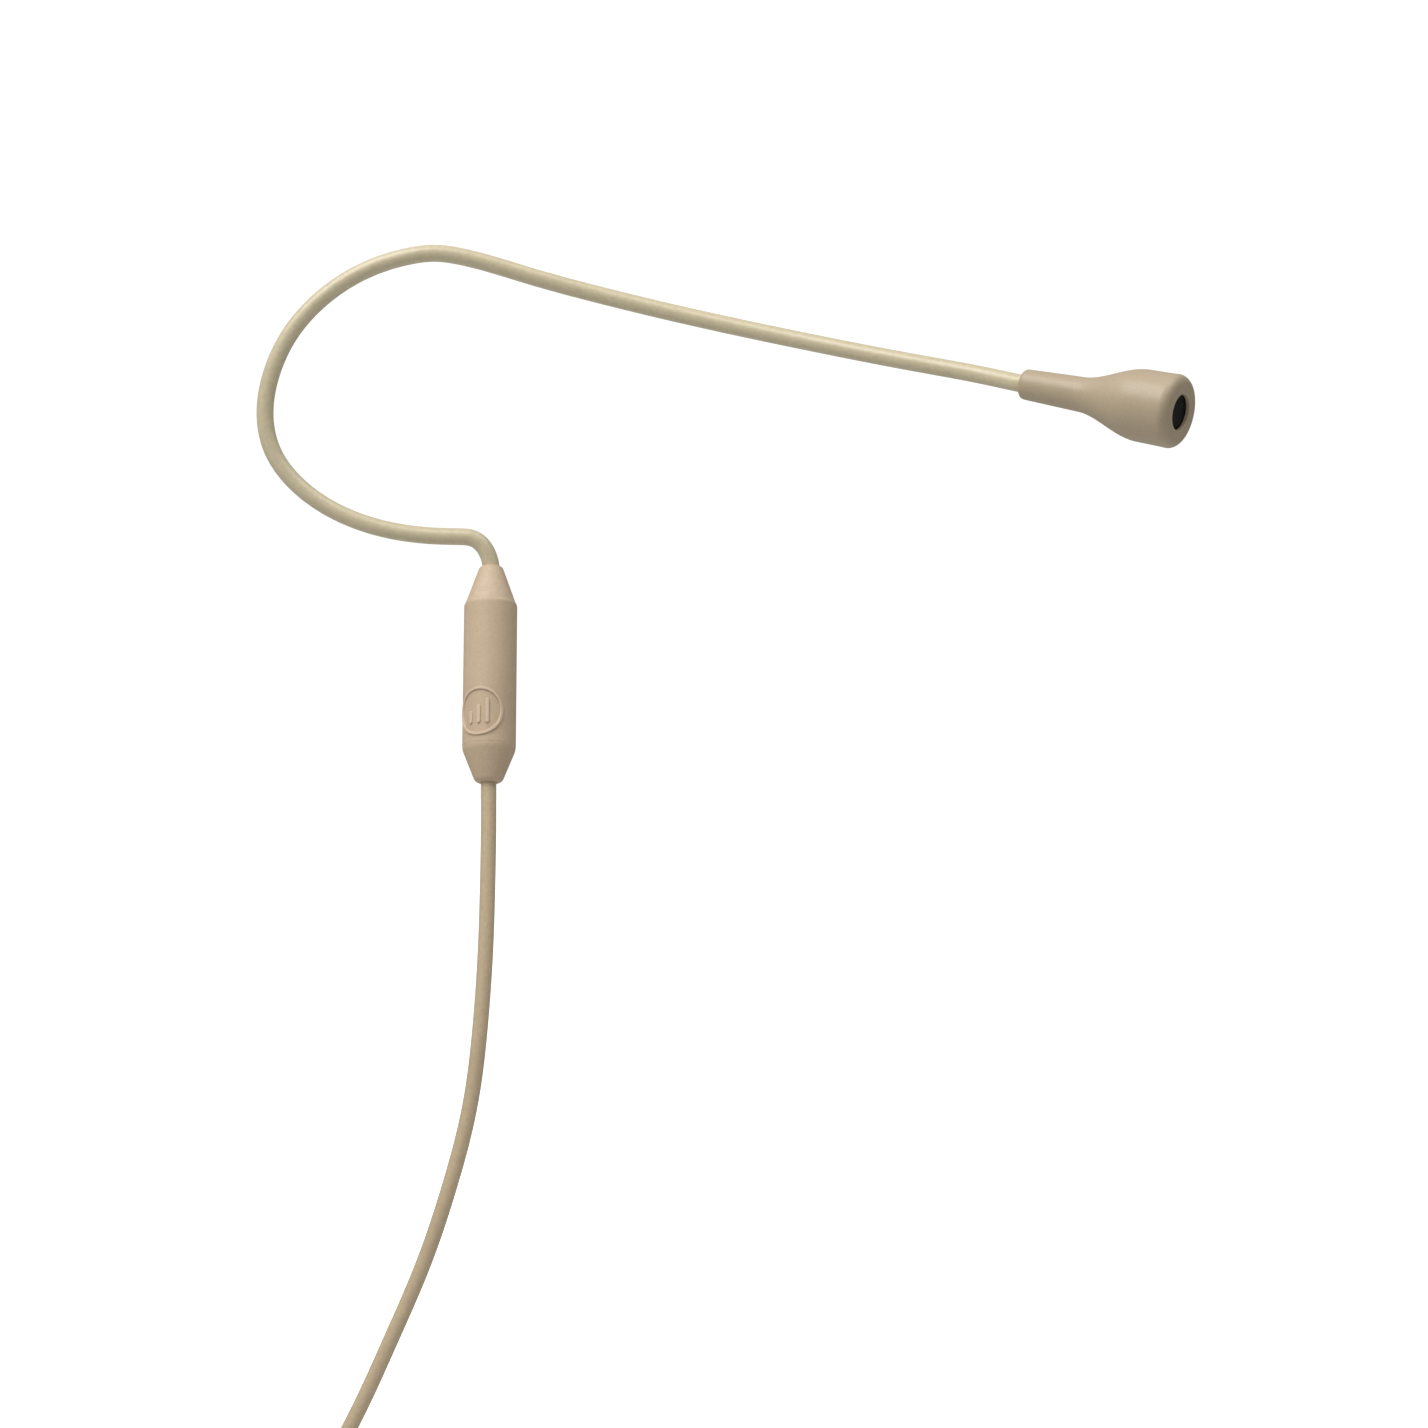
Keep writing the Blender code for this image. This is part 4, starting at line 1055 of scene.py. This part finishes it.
@dataclass
class Junction:
    """Two conical caps and the barrel between them, with a raised generic sound-level sign."""

    width: float = 0.00766
    top: CapShape = CapShape(
        WIRE_D, end_d=0.0033, cone=0.0053, end_cut=0.00045, chamfer=0.00030,
    )
    bottom: CapShape = CapShape(
        CABLE_D, end_d=0.0038, cone=0.0053, end_cut=0.00070, chamfer=0.00002, shoulder=0.0005,
    )
    wall: float = 0.00085
    spigot: float = 0.0030
    spigot_fit: float = 0.0002
    seam: float = 0.00001
    sign_depth: float = 0.0224
    sign_turn: float = math.radians(19)
    sign_d: float = 0.0067
    sign_line: float = 0.00030
    sign_height: float = 0.00021
    sign_edge: float = 0.00007
    patch_margin: float = 0.0006
    patch_step: float = 0.00005
    row_gap: float = 0.0002
    bar_pitch: float = 0.00125
    bar_width: float = 0.00046
    bar_foot: float = 0.00155
    bar_heights: tuple[float, float, float] = (0.0031, 0.0022, 0.0013)

    def cap_outline(self, cap: CapShape) -> Array:
        """Wall of a cap: from its narrow end down the cone, round the spigot and back up the bore.

        Args:
            cap: The cap's outside and bore.

        Returns:
            Radius and height of the outline's points.
        """
        bore = cap.bore_d / 2 + BORE_FIT
        wide = self.width / 2 - cap.chamfer
        inside = self.width / 2 - self.wall - self.spigot_fit
        foot = -(cap.cone - self.seam)
        low = -(cap.cone + self.spigot)
        straight = [(wide, foot + cap.shoulder, 0.95 * cap.shoulder)] if cap.shoulder else []
        return rounded([
            (cap.end_d / 2, 0.0, cap.end_cut),
            *straight,
            (wide, foot, 0.0),
            (inside, foot, EDGE),
            (inside, low, 2 * EDGE),
            (bore, low, EDGE),
            (bore, 0.0, 0.6 * EDGE),
        ], 7)

    def sign(self, across: Array, down: Array) -> Array:
        """Raised sign: a ring and three bars of rising height with round ends.

        The ring is a band about its radius. A bar is where the distance to its middle segment is less than
        half its width.

        Args:
            across: Arc length round the barrel from the sign's centre.
            down: Distance along the barrel from the sign's centre.

        Returns:
            Height from 0 to 1.
        """
        shape = band(np.hypot(across, down) - self.sign_d / 2, self.sign_line / 2, self.sign_edge)
        for number, tall in enumerate(self.bar_heights):
            middle = (number - 1) * self.bar_pitch
            nearest = np.clip(down, self.bar_foot - tall, self.bar_foot)
            away = np.hypot(across - middle, down - nearest)
            shape = np.maximum(shape, band(away, self.bar_width / 2, self.sign_edge))
        return shape

    def barrel_edge(self, cap: CapShape) -> Array:
        """Rim of the barrel at a cap: from its inner wall, out and round the edge on to its side.

        Args:
            cap: The cap that the rim meets.

        Returns:
            Radius and depth of the rim's points.
        """
        outside = self.width / 2
        edge = 2 * cap.chamfer
        return rounded([
            (outside - self.wall, cap.cone, 0.0), (outside - cap.chamfer, cap.cone, 0.0),
            (outside, cap.cone + edge, 0.8 * cap.chamfer), (outside, cap.cone + 3 * edge, 0.0),
        ], 6, closed=False)[:-1]

    def build_barrel(self) -> Obj:
        """The barrel, with a fine patch of grid lines where the sign stands.

        Returns:
            The piece.
        """
        outside = self.width / 2
        reach = self.sign_d / 2 + self.patch_margin
        near = np.arange(-reach, reach, self.patch_step) / outside + self.sign_turn
        turn = np.concatenate([near, np.linspace(near[-1], near[0] + math.tau, 90)[1:-1]])
        upper = self.barrel_edge(self.top)
        lower = self.barrel_edge(self.bottom)[::-1] * [1.0, -1.0] + [0.0, JUNCTION_LENGTH]
        rows = np.arange(self.sign_depth - reach, self.sign_depth + reach, self.patch_step)
        above = np.linspace(upper[-1, 1] + self.row_gap, rows[0], 24)[:-1]
        below = np.linspace(rows[-1], lower[0, 1] - self.row_gap, 14)[1:]
        side = columns(outside, np.concatenate([above, rows, below]))
        outline = np.concatenate([upper, side, lower])
        across = (turn[None, :] - self.sign_turn) * outside
        raised = self.sign(across, outline[:, 1:] - self.sign_depth) * (np.abs(across) < reach)
        piece = turned_piece("junction_barrel", JUNCTION_AXIS, outline, turn, self.sign_height * raised)
        # The raised share is stored for the painted highlight that lightens the sign.
        piece.data.attributes.new(SIGN_HIGHLIGHT, "FLOAT", "POINT").data.foreach_set("value", raised.ravel())
        return piece

    def build(self) -> None:
        """Builds the two caps and the barrel."""
        up = Axis(JUNCTION_AXIS.origin, tuple(-c for c in JUNCTION_AXIS.along))
        end = Axis(JUNCTION_AXIS.beyond(JUNCTION_LENGTH), JUNCTION_AXIS.along)
        turn = full_turn(128)
        top = turned_piece("junction_top_cone", up, self.cap_outline(self.top), turn)
        settle(top, MOULDING, "lower_hook", "upper_end_cap")
        settle(self.build_barrel(), MOULDING, "lower_hook", "barrel_sleeve")
        bottom = turned_piece("junction_bottom_cone", end, self.cap_outline(self.bottom), turn)
        settle(bottom, MOULDING, "lower_hook", "lower_end_cap")


@dataclass
class LockingPlug:
    """The four-pin round plug: ribbed bend relief, knurled nut, shell, grooved sleeve, pins and spring."""

    axis: Axis = Axis((-0.014701, 0.00562, -0.183087), (1.0, 0.0, 0.0))
    relief_length: float = 0.0132
    relief_tail_d: float = 0.0035
    relief_head_d: float = 0.0054
    relief_flange_d: float = 0.0066
    relief_flange: float = 0.0015
    relief_bore_step: float = 0.004
    ribs_start: float = 0.0012
    ribs_end: float = 0.0008
    ribs: int = 6
    rib_depth: float = 0.00035
    nut_rear: float = 0.01235
    nut_length: float = 0.0095
    nut_d: float = 0.0088
    nut_wall: float = 0.0007
    nut_end_wall: float = 0.0007
    nut_round: float = 0.0007
    nut_front_round: float = 0.00025
    knurl_start: float = 0.0016
    knurl_end: float = 0.0012
    knurl_count: int = 48
    knurl_depth: float = 0.00014
    knurl_margin: float = 0.0006
    knurl_fade: float = 0.0004
    collar_length: float = 0.0040
    gap: float = 0.00015
    nose_d: float = 0.0072
    nose_wall: float = 0.0006
    nose_length: float = 0.0177
    sleeve_d: float = 0.0098
    sleeve_rest: float = 0.0019
    sleeve_length: float = 0.0112
    sleeve_counterbore: float = 0.0044
    sleeve_counterbore_wall: float = 0.0004
    sleeve_fit: float = 0.0003
    sleeve_rim: float = 0.0010
    grooves: int = 36
    groove_depth: float = 0.00016
    grip_middle: float = 0.62
    grip_half: float = 0.0024
    grip_fade: float = 0.0006
    pins: int = 4
    pin_d: float = 0.0007
    pin_circle_d: float = 0.0029
    insert_length: float = 0.0100
    insert_recess: float = 0.0040
    pin_tail: float = 0.0016
    pin_reach: float = 0.0032
    spring_wire_d: float = 0.00035
    spring_turns: float = 4.5

    def shell_rear(self) -> float:
        """Where the shell starts in front of the nut."""
        return self.nut_rear + self.nut_length + self.gap

    def collar_front(self) -> float:
        """Where the shell's collar ends and its nose starts."""
        return self.shell_rear() + self.collar_length

    def sleeve_room(self) -> float:
        """Radius of the room in the sleeve's counterbore."""
        return self.sleeve_d / 2 - self.sleeve_counterbore_wall

    def build_relief(self) -> Obj:
        """Tapered relief whose ribs are the taper less a rounded groove between each two.

        Returns:
            The piece.
        """
        low = self.ribs_start
        high = self.relief_length - self.ribs_end
        tail = self.relief_tail_d / 2
        head = self.relief_head_d / 2
        flange = self.relief_flange_d / 2
        top = self.relief_length + self.relief_flange
        bore = CABLE_D / 2 + BORE_FIT
        depth = np.linspace(low, high, 120)
        taper = np.interp(depth, [0.0, self.relief_length], [tail, head])
        phase = (depth - low) / (high - low) * self.ribs
        groove = np.clip(np.sin(math.tau * phase - math.pi / 2), 0.0, 1.0) ** 0.6
        start = rounded([
            (bore, self.relief_bore_step, 0.0), (bore, 0.0, EDGE), (tail, 0.0, 3 * EDGE),
            (taper[0], low, 0.0),
        ], 6, closed=False)[:-1]
        foot = self.relief_length
        end = np.array([(head, foot), (flange, foot), (flange, top), (bore, top)])
        outline = np.concatenate([start, columns(taper - self.rib_depth * groove, depth), end])
        return turned_piece("plug_relief_ribbed", self.axis, outline, full_turn(72))

    def build_gripped(self, name: str, outline: Array, turn: Array, outside: float, cut: Array) -> Obj:
        """Turned piece cut by a pattern's depth where its outline is at the outside radius."""
        on_side = np.abs(outline[:, :1] - outside) < 1e-7
        return turned_piece(name, self.axis, outline, turn, -cut * on_side, 50.0)

    def build_nut(self) -> Obj:
        """Back nut with a diamond knurl, deepest where either of two crossed sets of grooves runs.

        Returns:
            The piece.
        """
        rear = self.nut_rear
        front = rear + self.nut_length
        outside = self.nut_d / 2
        room = outside - self.nut_wall
        hole = self.relief_head_d / 2 + self.gap
        low = rear + self.knurl_start
        high = front - self.knurl_end
        floor = rear + self.nut_end_wall
        start = rounded([
            (room, floor, 0.0), (hole, floor, 0.0), (hole, rear, EDGE), (outside, rear, self.nut_round),
            (outside, low, 0.0),
        ], 7, closed=False)[:-1]
        end = rounded([
            (outside, high, 0.0), (outside, front, self.nut_front_round), (room, front, 1.2 * EDGE),
            (room, front - 10 * EDGE, 0.0),
        ], 6, closed=False)[1:]
        outline = np.concatenate([start, columns(outside, np.linspace(low, high, 90)), end])
        turn = full_turn(self.knurl_count * 8)
        height = outline[:, 1:]
        lean = (height - low) / (math.tau * outside / self.knurl_count) * math.tau
        around = self.knurl_count * turn[None, :]
        ridge = np.abs(np.sin((around + lean) / 2)) * np.abs(np.sin((around - lean) / 2))
        half = (high - low) / 2 - self.knurl_margin
        knurled = band(height - (low + high) / 2, half, self.knurl_fade)
        cut = self.knurl_depth * (1.0 - ridge) * knurled
        return self.build_gripped("plug_nut_knurled", outline, turn, outside, cut)

    def build_shell(self) -> Obj:
        """Shell: collar behind, long nose in front, open bore through both.

        Returns:
            The piece.
        """
        rear = self.shell_rear()
        collar = self.collar_front()
        front = collar + self.nose_length
        nose = self.nose_d / 2
        bore = nose - self.nose_wall
        outline = rounded([
            (nose, front, 3.5 * EDGE), (nose, collar, EDGE), (self.nut_d / 2, collar, 2.5 * EDGE),
            (self.nut_d / 2, rear, 2.5 * EDGE), (bore, rear, EDGE), (bore, front, 1.5 * EDGE),
        ], 7)
        return turned_piece("plug_body", self.axis, outline, full_turn(112))

    def build_sleeve(self) -> Obj:
        """Locking sleeve with straight grip grooves: depth times a power of the cosine round it.

        Returns:
            The piece.
        """
        rear = self.collar_front() + self.sleeve_rest
        front = rear + self.sleeve_length
        step = rear + self.sleeve_counterbore
        outside = self.sleeve_d / 2
        room = self.sleeve_room()
        bore = self.nose_d / 2 + self.sleeve_fit
        low = rear + self.sleeve_rim
        high = front - self.sleeve_rim
        start = rounded([
            (room, low, 0.0), (room, rear, 0.8 * EDGE), (outside, rear, 3 * EDGE), (outside, low, 0.0),
        ], 6, closed=False)[1:-1]
        end = rounded([
            (outside, high, 0.0), (outside, front, 5 * EDGE), (bore, front, 2 * EDGE),
            (bore, front - 2 * self.sleeve_rim, 0.0),
        ], 7, closed=False)[1:]
        inside = np.array([(bore, step), (room, step), (room, low)])
        outline = np.concatenate([start, columns(outside, np.linspace(low, high, 60)), end, inside])
        turn = full_turn(self.grooves * 10)
        groove = np.clip(np.cos(self.grooves * turn), 0.0, 1.0)[None, :] ** 0.8
        middle = rear + self.grip_middle * self.sleeve_length
        grip = band(outline[:, 1:] - middle, self.grip_half, self.grip_fade)
        cut = self.groove_depth * groove * grip
        return self.build_gripped("plug_sleeve_grooved", outline, turn, outside, cut)

    def build_spring(self) -> Obj:
        """Helical spring from the collar to the sleeve's step.

        Returns:
            The piece.
        """
        collar = self.collar_front()
        half = self.spring_wire_d / 2
        rear = collar + self.gap + half
        front = collar + self.sleeve_rest + self.sleeve_counterbore - self.gap - half
        radius = (self.nose_d / 2 + self.sleeve_fit + self.sleeve_room()) / 2
        turn = np.linspace(0.0, self.spring_turns * math.tau, 200)
        depth = np.linspace(rear, front, len(turn))
        line = self.axis.place(columns(radius * np.cos(turn), radius * np.sin(turn), depth))
        along = np.broadcast_to(self.axis.basis()[2], line.shape)
        piece = rod_surface("lock_spring_coil", swept_rings(line, along, half, 14))
        ends = (self.axis.beyond(rear + half), self.axis.beyond(front - half))
        return stretch(piece, STEEL, ("lower_hook", "lock_sleeve"), ends, "lock_spring")

    def build_pin(self, number: int) -> Obj:
        """One contact pin with a round tip.

        Args:
            number: The pin's number, from 1.

        Returns:
            The piece.
        """
        front = self.collar_front() + self.nose_length - self.insert_recess
        tail = front - self.insert_length - self.pin_tail
        tip = front + self.pin_reach
        turn = math.tau * (number - 0.5) / self.pins
        aside = self.pin_circle_d / 2 * np.array([math.cos(turn), math.sin(turn), 0.0])
        radius = self.pin_d / 2
        share = np.linspace(0.0, 0.97, 10) * math.pi / 2
        dome = columns(radius * np.cos(share), tip - radius + radius * np.sin(share))
        outline = np.concatenate([[(0.8 * radius, tail), (radius, tail + EDGE)], dome])
        rings = turned_rings(self.axis, outline, full_turn(24))
        return rod_surface(f"contact_pin_{number}", rings + aside @ self.axis.basis())

    def build(self) -> list[Obj]:
        """Builds the plug's pieces.

        Returns:
            All that lies on the cord.
        """
        made = [
            settle(self.build_relief(), PLUG_RUBBER, "lower_hook", "plug_bend_relief"),
            settle(self.build_nut(), PLATING, "lower_hook", "plug_back_nut"),
            settle(self.build_shell(), PLATING, "lower_hook", "plug_shell"),
            settle(self.build_sleeve(), PLATING, "lock_sleeve", "lock_sleeve"),
        ]
        for number in range(1, self.pins + 1):
            made.append(settle(self.build_pin(number), GOLD, "lower_hook", f"plug_pin_{number}"))
        made.append(self.build_spring())
        inner = ("plug_insert", "plug_clamp", "plug_lead_1", "plug_lead_2")
        return made + [frame["nodes"][name] for name in inner]


@dataclass
class Cable:
    """One cord: down from the junction, into a neat coil of four layers, and out to the plug."""

    length: float = 1.40
    inside_depth: float = 0.0210
    coil_mean_d: float = 0.0264
    layers: int = 4
    turns_per_layer: float = 3.5
    climb_turns: float = 1.0 / 6.0
    pitch: float = 0.00224
    steps_per_turn: int = 90
    smoothed: int = 9
    sides: int = 20
    spacing: float = 0.0009
    tie_fit: float = 0.0003
    tie_thickness: float = 0.0006
    plug_offset: tuple[float, float] = (0.0300, 0.0090)
    plug_lift: float = 0.0050
    clamp_end: float = 0.01875
    turn_over_start: float = 0.86
    turn_over_length: float = 0.13
    tail_bends: tuple[tuple[float, Point], ...] = (
        (0.30, (0.0, 0.0007, 0.0011)),
        (0.70, (0.0, -0.0007, -0.0003)),
    )
    points: tuple[Point, ...] = (
        (0.0001, -0.0014, -0.0058), (0.0001, -0.0028, -0.0126), (-0.0001, -0.0047, -0.0235),
        (-0.0007, -0.0060, -0.0336), (-0.0021, -0.0071, -0.0451), (-0.0049, -0.0080, -0.0563),
        (-0.0086, -0.0088, -0.0673), (-0.0128, -0.0094, -0.0771), (-0.0185, -0.0102, -0.0893),
        (-0.0259, -0.0111, -0.1001), (-0.0375, -0.0121, -0.1080), (-0.0487, -0.0125, -0.1107),
        (-0.0532, -0.0125, -0.1107),
    )

    def junction_end(self) -> Array:
        """Where the cable leaves the junction."""
        return np.array(JUNCTION_AXIS.beyond(JUNCTION_LENGTH))

    def coil_radii(self) -> tuple[float, float]:
        """Radii of the coil's innermost and outermost turns."""
        spread = self.pitch * self.turns_per_layer / 2
        return self.coil_mean_d / 2 - spread, self.coil_mean_d / 2 + spread

    def coil_centre(self) -> Array:
        """Centre of the coil at the height of its lowest layer."""
        return self.junction_end() + np.array(self.points[-1]) + [0.0, self.coil_radii()[1], 0.0]

    def coil_line(self) -> Array:
        """Middle line of the coil's turns, clockwise from its -Y side.

        The radius runs in by one pitch a turn on even layers and out on odd ones, holds still while the
        cord climbs a layer, and is smoothed by a running mean. The height eases up one pitch at each climb.

        Returns:
            Points in order, one a row.
        """
        inner, outer = self.coil_radii()
        at = [0.0]
        radius = [outer]
        for layer in range(self.layers):
            at.append(at[-1] + self.turns_per_layer)
            radius.append(outer if layer % 2 else inner)
            at.append(at[-1] + self.climb_turns)
            radius.append(radius[-1])
        total = at[-2]
        turns = np.linspace(0.0, total, int(total * self.steps_per_turn))
        padded = np.interp(np.pad(turns, self.smoothed // 2, mode="edge"), at, radius)
        reach = np.convolve(padded, np.ones(self.smoothed) / self.smoothed, mode="valid")
        starts = np.array(at[1:-1:2])[: self.layers - 1]
        height = self.pitch * ease((turns[:, None] - starts) / self.climb_turns).sum(axis=1)
        angle = -math.pi / 2 - math.tau * turns
        return self.coil_centre() + columns(reach * np.cos(angle), reach * np.sin(angle), height)

    def tail_line(self, coil: Array) -> Array:
        """Middle line from the coil's end, along its last turn, to inside the plug.

        Args:
            coil: The coil's middle line.

        Returns:
            Points in order, one a row.
        """
        centre = self.coil_centre()
        floor = centre[2] - CABLE_D / 2 - self.tie_fit - self.tie_thickness
        offset = self.plug_offset
        plug = np.array([centre[0] + offset[0], centre[1] + offset[1], floor + self.plug_lift])
        leave = coil[-1]
        bends = [leave + share * (plug - leave) + np.array(aside) for share, aside in self.tail_bends]
        inside = [plug + [depth, 0.0, 0.0] for depth in (0.0060, self.clamp_end)]
        tail = Route([coil[-9], coil[-5], leave, *bends, plug, *inside])
        return tail.at(np.arange(tail.nearest(leave) + self.spacing, tail.length, self.spacing))

    def line(self) -> tuple[Array, Array]:
        """Middle line of the whole cord, and the direction across it, which turns from +Y to +Z.

        Returns:
            The line's points, and the direction across it at each.
        """
        end = self.junction_end()
        inside = JUNCTION_AXIS.beyond(self.inside_depth)
        hanging = Route([inside, end, *[end + np.array(step) for step in self.points]])
        down = hanging.at(np.arange(0.0, hanging.length, self.spacing))
        coil = self.coil_line()
        line = np.concatenate([down, coil, self.tail_line(coil)])
        past = np.arange(len(line)) - self.turn_over_start * len(down)
        turned = ease(past / (self.turn_over_length * len(down)))
        return line, unit(columns(0.0, 1.0 - turned, turned))

    def build(self, plug_pieces: list[Obj], strap: Obj) -> None:
        """Args:
            plug_pieces: The plug's pieces. Not used.
            strap: The tie round the coil. Not used.
        """
        line, across = self.line()
        piece = rod_surface("headset_cable", swept_rings(line, across, CABLE_D / 2, self.sides))
        settle(piece, JACKET, "lower_hook", "cable", "cable_coil", "cable_tail")
        LOG.info("cable measures %.3f m", walked(line)[-1])
        tuple(self.junction_end())


@dataclass
class CoilTie:
    """A hook-and-loop strap once round the coil's section, its end pressed down over its start."""

    cable: Cable
    width: float = 0.0050
    fit_inside: float = 0.0005
    corner: float = 0.0016
    lap_rise: float = 1.08
    lap_foot: float = 0.0030
    lap_top: float = 0.0050
    lap_end: float = 0.0014
    section_cut: float = 0.00018

    def outline(self) -> Array:
        """Middle line of the strap in the coil's section: once round, then up over its own start.

        Returns:
            Distance outwards and height of each point in the section.
        """
        cable = self.cable
        inner, outer = cable.coil_radii()
        thick = cable.tie_thickness
        away = CABLE_D / 2 + cable.tie_fit + thick / 2
        near = inner - CABLE_D / 2 - self.fit_inside - thick / 2
        far = outer + away
        low = -away
        high = cable.pitch * (cable.layers - 1) + away
        lapped = high + thick * self.lap_rise
        return rounded([
            ((near + far) / 2, high, 0.0),
            (far, high, self.corner),
            (far, low, self.corner),
            (near, low, self.corner),
            (near, high, self.corner),
            (near + self.lap_foot, high, 0.0008),
            (near + self.lap_top, lapped, 0.0010),
            (far - self.lap_end, lapped, 0.0),
        ], 9, closed=False)

    def build(self) -> Obj:
        """Builds the strap and lays its UV map in metres, along it and across it.

        Returns:
            The piece.
        """
        outline = self.outline()
        span = walked(outline)
        even = np.linspace(0.0, span[-1], 160)
        path = read_along(outline, span, even)
        slope = directions(path)
        normal = columns(slope[:, 1], -slope[:, 0])
        half, cut = self.width / 2, self.section_cut
        thick = self.cable.tie_thickness / 2
        section = rounded([
            (half, thick, cut), (half, -thick, cut), (-half, -thick, cut), (-half, thick, cut),
        ], 4)
        flat = path[:, None, :] + normal[:, None, :] * section[None, :, 1:2]
        rings = self.cable.coil_centre() + columns(-flat[..., 0], section[None, :, 0], flat[..., 1])
        piece = rod_surface("hook_loop_strap", rings, 40.0)
        places = columns(even[:, None], section[None, :, 0]).reshape(-1, 2)
        places = np.concatenate([places, columns(even[[0, -1]], 0.0)])
        loops = np.zeros(len(piece.data.loops), np.int32)
        piece.data.loops.foreach_get("vertex_index", loops)
        layer = piece.data.uv_layers.new(name="strap")
        layer.data.foreach_set("uv", places[loops].astype(np.float32).ravel())
        return settle(piece, STRAP, "lower_hook", "coil_tie")


# Studio


@dataclass(frozen=True)
class SoftBox:
    """A square soft light aimed at a point."""

    name: str
    place: Point
    size: float
    watts: float
    aim: Point = (0.03, 0.0, -0.06)

    def add(self) -> None:
        """Adds the light to the scene."""
        data = bpy.data.lights.new(self.name, "AREA")
        data.shape = "SQUARE"
        data.size = self.size
        data.energy = self.watts
        light = link(self.name, data)
        light.location = self.place
        light.rotation_euler = (Vector(self.aim) - Vector(self.place)).to_track_quat("-Z", "Y").to_euler()


@dataclass
class Studio:
    """Camera, pale floor, white surround and soft lights."""

    camera_place: Point = (0.0406, -0.450, -0.0656)
    lens_mm: float = 78.24
    floor_side: float = 8.0
    floor_gap: float = 0.00005
    floor_bounce: float = 0.62
    floor_shown: float = 0.92
    surround_front: float = 0.21
    surround_back: float = 0.30
    surround_shown: float = 1.05
    lights: tuple[SoftBox, ...] = (
        SoftBox("overhead_softbox", (-0.34, -0.30, 0.60), 0.60, 5.2),
        SoftBox("right_softbox", (0.30, -0.22, 0.62), 0.50, 1.5),
    )

    def add_camera(self) -> None:
        """Level camera that looks along +Y."""
        data = bpy.data.cameras.new("camera")
        data.lens = self.lens_mm
        data.sensor_width = 36.0
        data.clip_start = 0.01
        data.clip_end = 50.0
        camera = link("camera", data)
        camera.location = self.camera_place
        camera.rotation_euler = (math.pi / 2, 0.0, 0.0)
        bpy.context.scene.camera = camera

    def add_surround(self) -> None:
        """White surround: fully white where it is seen, dimmer as a light."""
        world = bpy.data.worlds.new("surround")
        bpy.context.scene.world = world
        world.use_nodes = True
        sheet = NodeSheet(world.node_tree)
        heading = sheet.add("ShaderNodeTexCoord").outputs["Generated"]
        behind = sheet.add("ShaderNodeSeparateXYZ", {0: heading}).outputs["Y"]
        glow = sheet.remap(behind, -0.4, 0.8, self.surround_front, self.surround_back)
        seen = sheet.add("ShaderNodeLightPath").outputs["Is Camera Ray"]
        strength = sheet.math("MAXIMUM", glow, sheet.times(seen, self.surround_shown))
        sheet.fill(world.node_tree.nodes["Background"], {"Color": (1.0, 1.0, 1.0), "Strength": strength})

    def add_floor(self) -> None:
        """Plain pale floor just under the lowest piece: white where it is seen, dimmer as a light."""
        half = self.floor_side / 2
        height = CAD_BOX[0][2] - self.floor_gap
        corners = [(x, y, height) for x, y in ((-half, -half), (half, -half), (half, half), (-half, half))]
        mesh = bpy.data.meshes.new("floor")
        mesh.from_pydata(corners, [], [(0, 1, 2, 3)])
        floor = link("floor", mesh)
        made = bpy.data.materials.new("pale_floor")
        made.use_nodes = True
        sheet = NodeSheet(made.node_tree)
        seen = sheet.add("ShaderNodeLightPath").outputs["Is Camera Ray"]
        sheet.fill(made.node_tree.nodes["Principled BSDF"], {
            "Roughness": 0.9,
            "Specular IOR Level": 0.1,
            "Base Color": sheet.mix(seen, (self.floor_bounce,) * 3, (self.floor_shown,) * 3),
            "Emission Color": (1.0, 1.0, 1.0),
            "Emission Strength": seen,
        })
        made.cycles.emission_sampling = "NONE"
        mesh.materials.append(made)

    def build(self) -> None:
        """Adds everything and keeps plain display colours."""
        self.add_camera()
        self.add_surround()
        self.add_floor()
        for light in self.lights:
            light.add()
        settings = bpy.context.scene.view_settings
        settings.view_transform = "Standard"
        settings.look = "None"


def dress_cad_nodes() -> None:
    """Gives every CAD node that stays its procedural finish."""
    for finish, nodes in CAD_FINISHES.items():
        for name in nodes:
            materials = frame["nodes"][name].data.materials
            materials.clear()
            materials.append(finish.material())
            LOG.info("%s: CAD node in %s", name, finish.slot)


def main() -> None:
    """Builds the studio, the cord, then every other sub-assembly."""
    Studio().build()
    cable = Cable()
    strap = CoilTie(cable).build()
    cable.build(LockingPlug().build(), strap)
    FormableWire().build()
    Junction().build()
    Capsule().build()
    dress_cad_nodes()


if __name__ == "__main__":
    logging.basicConfig(level=logging.INFO, format="%(message)s")
    main()
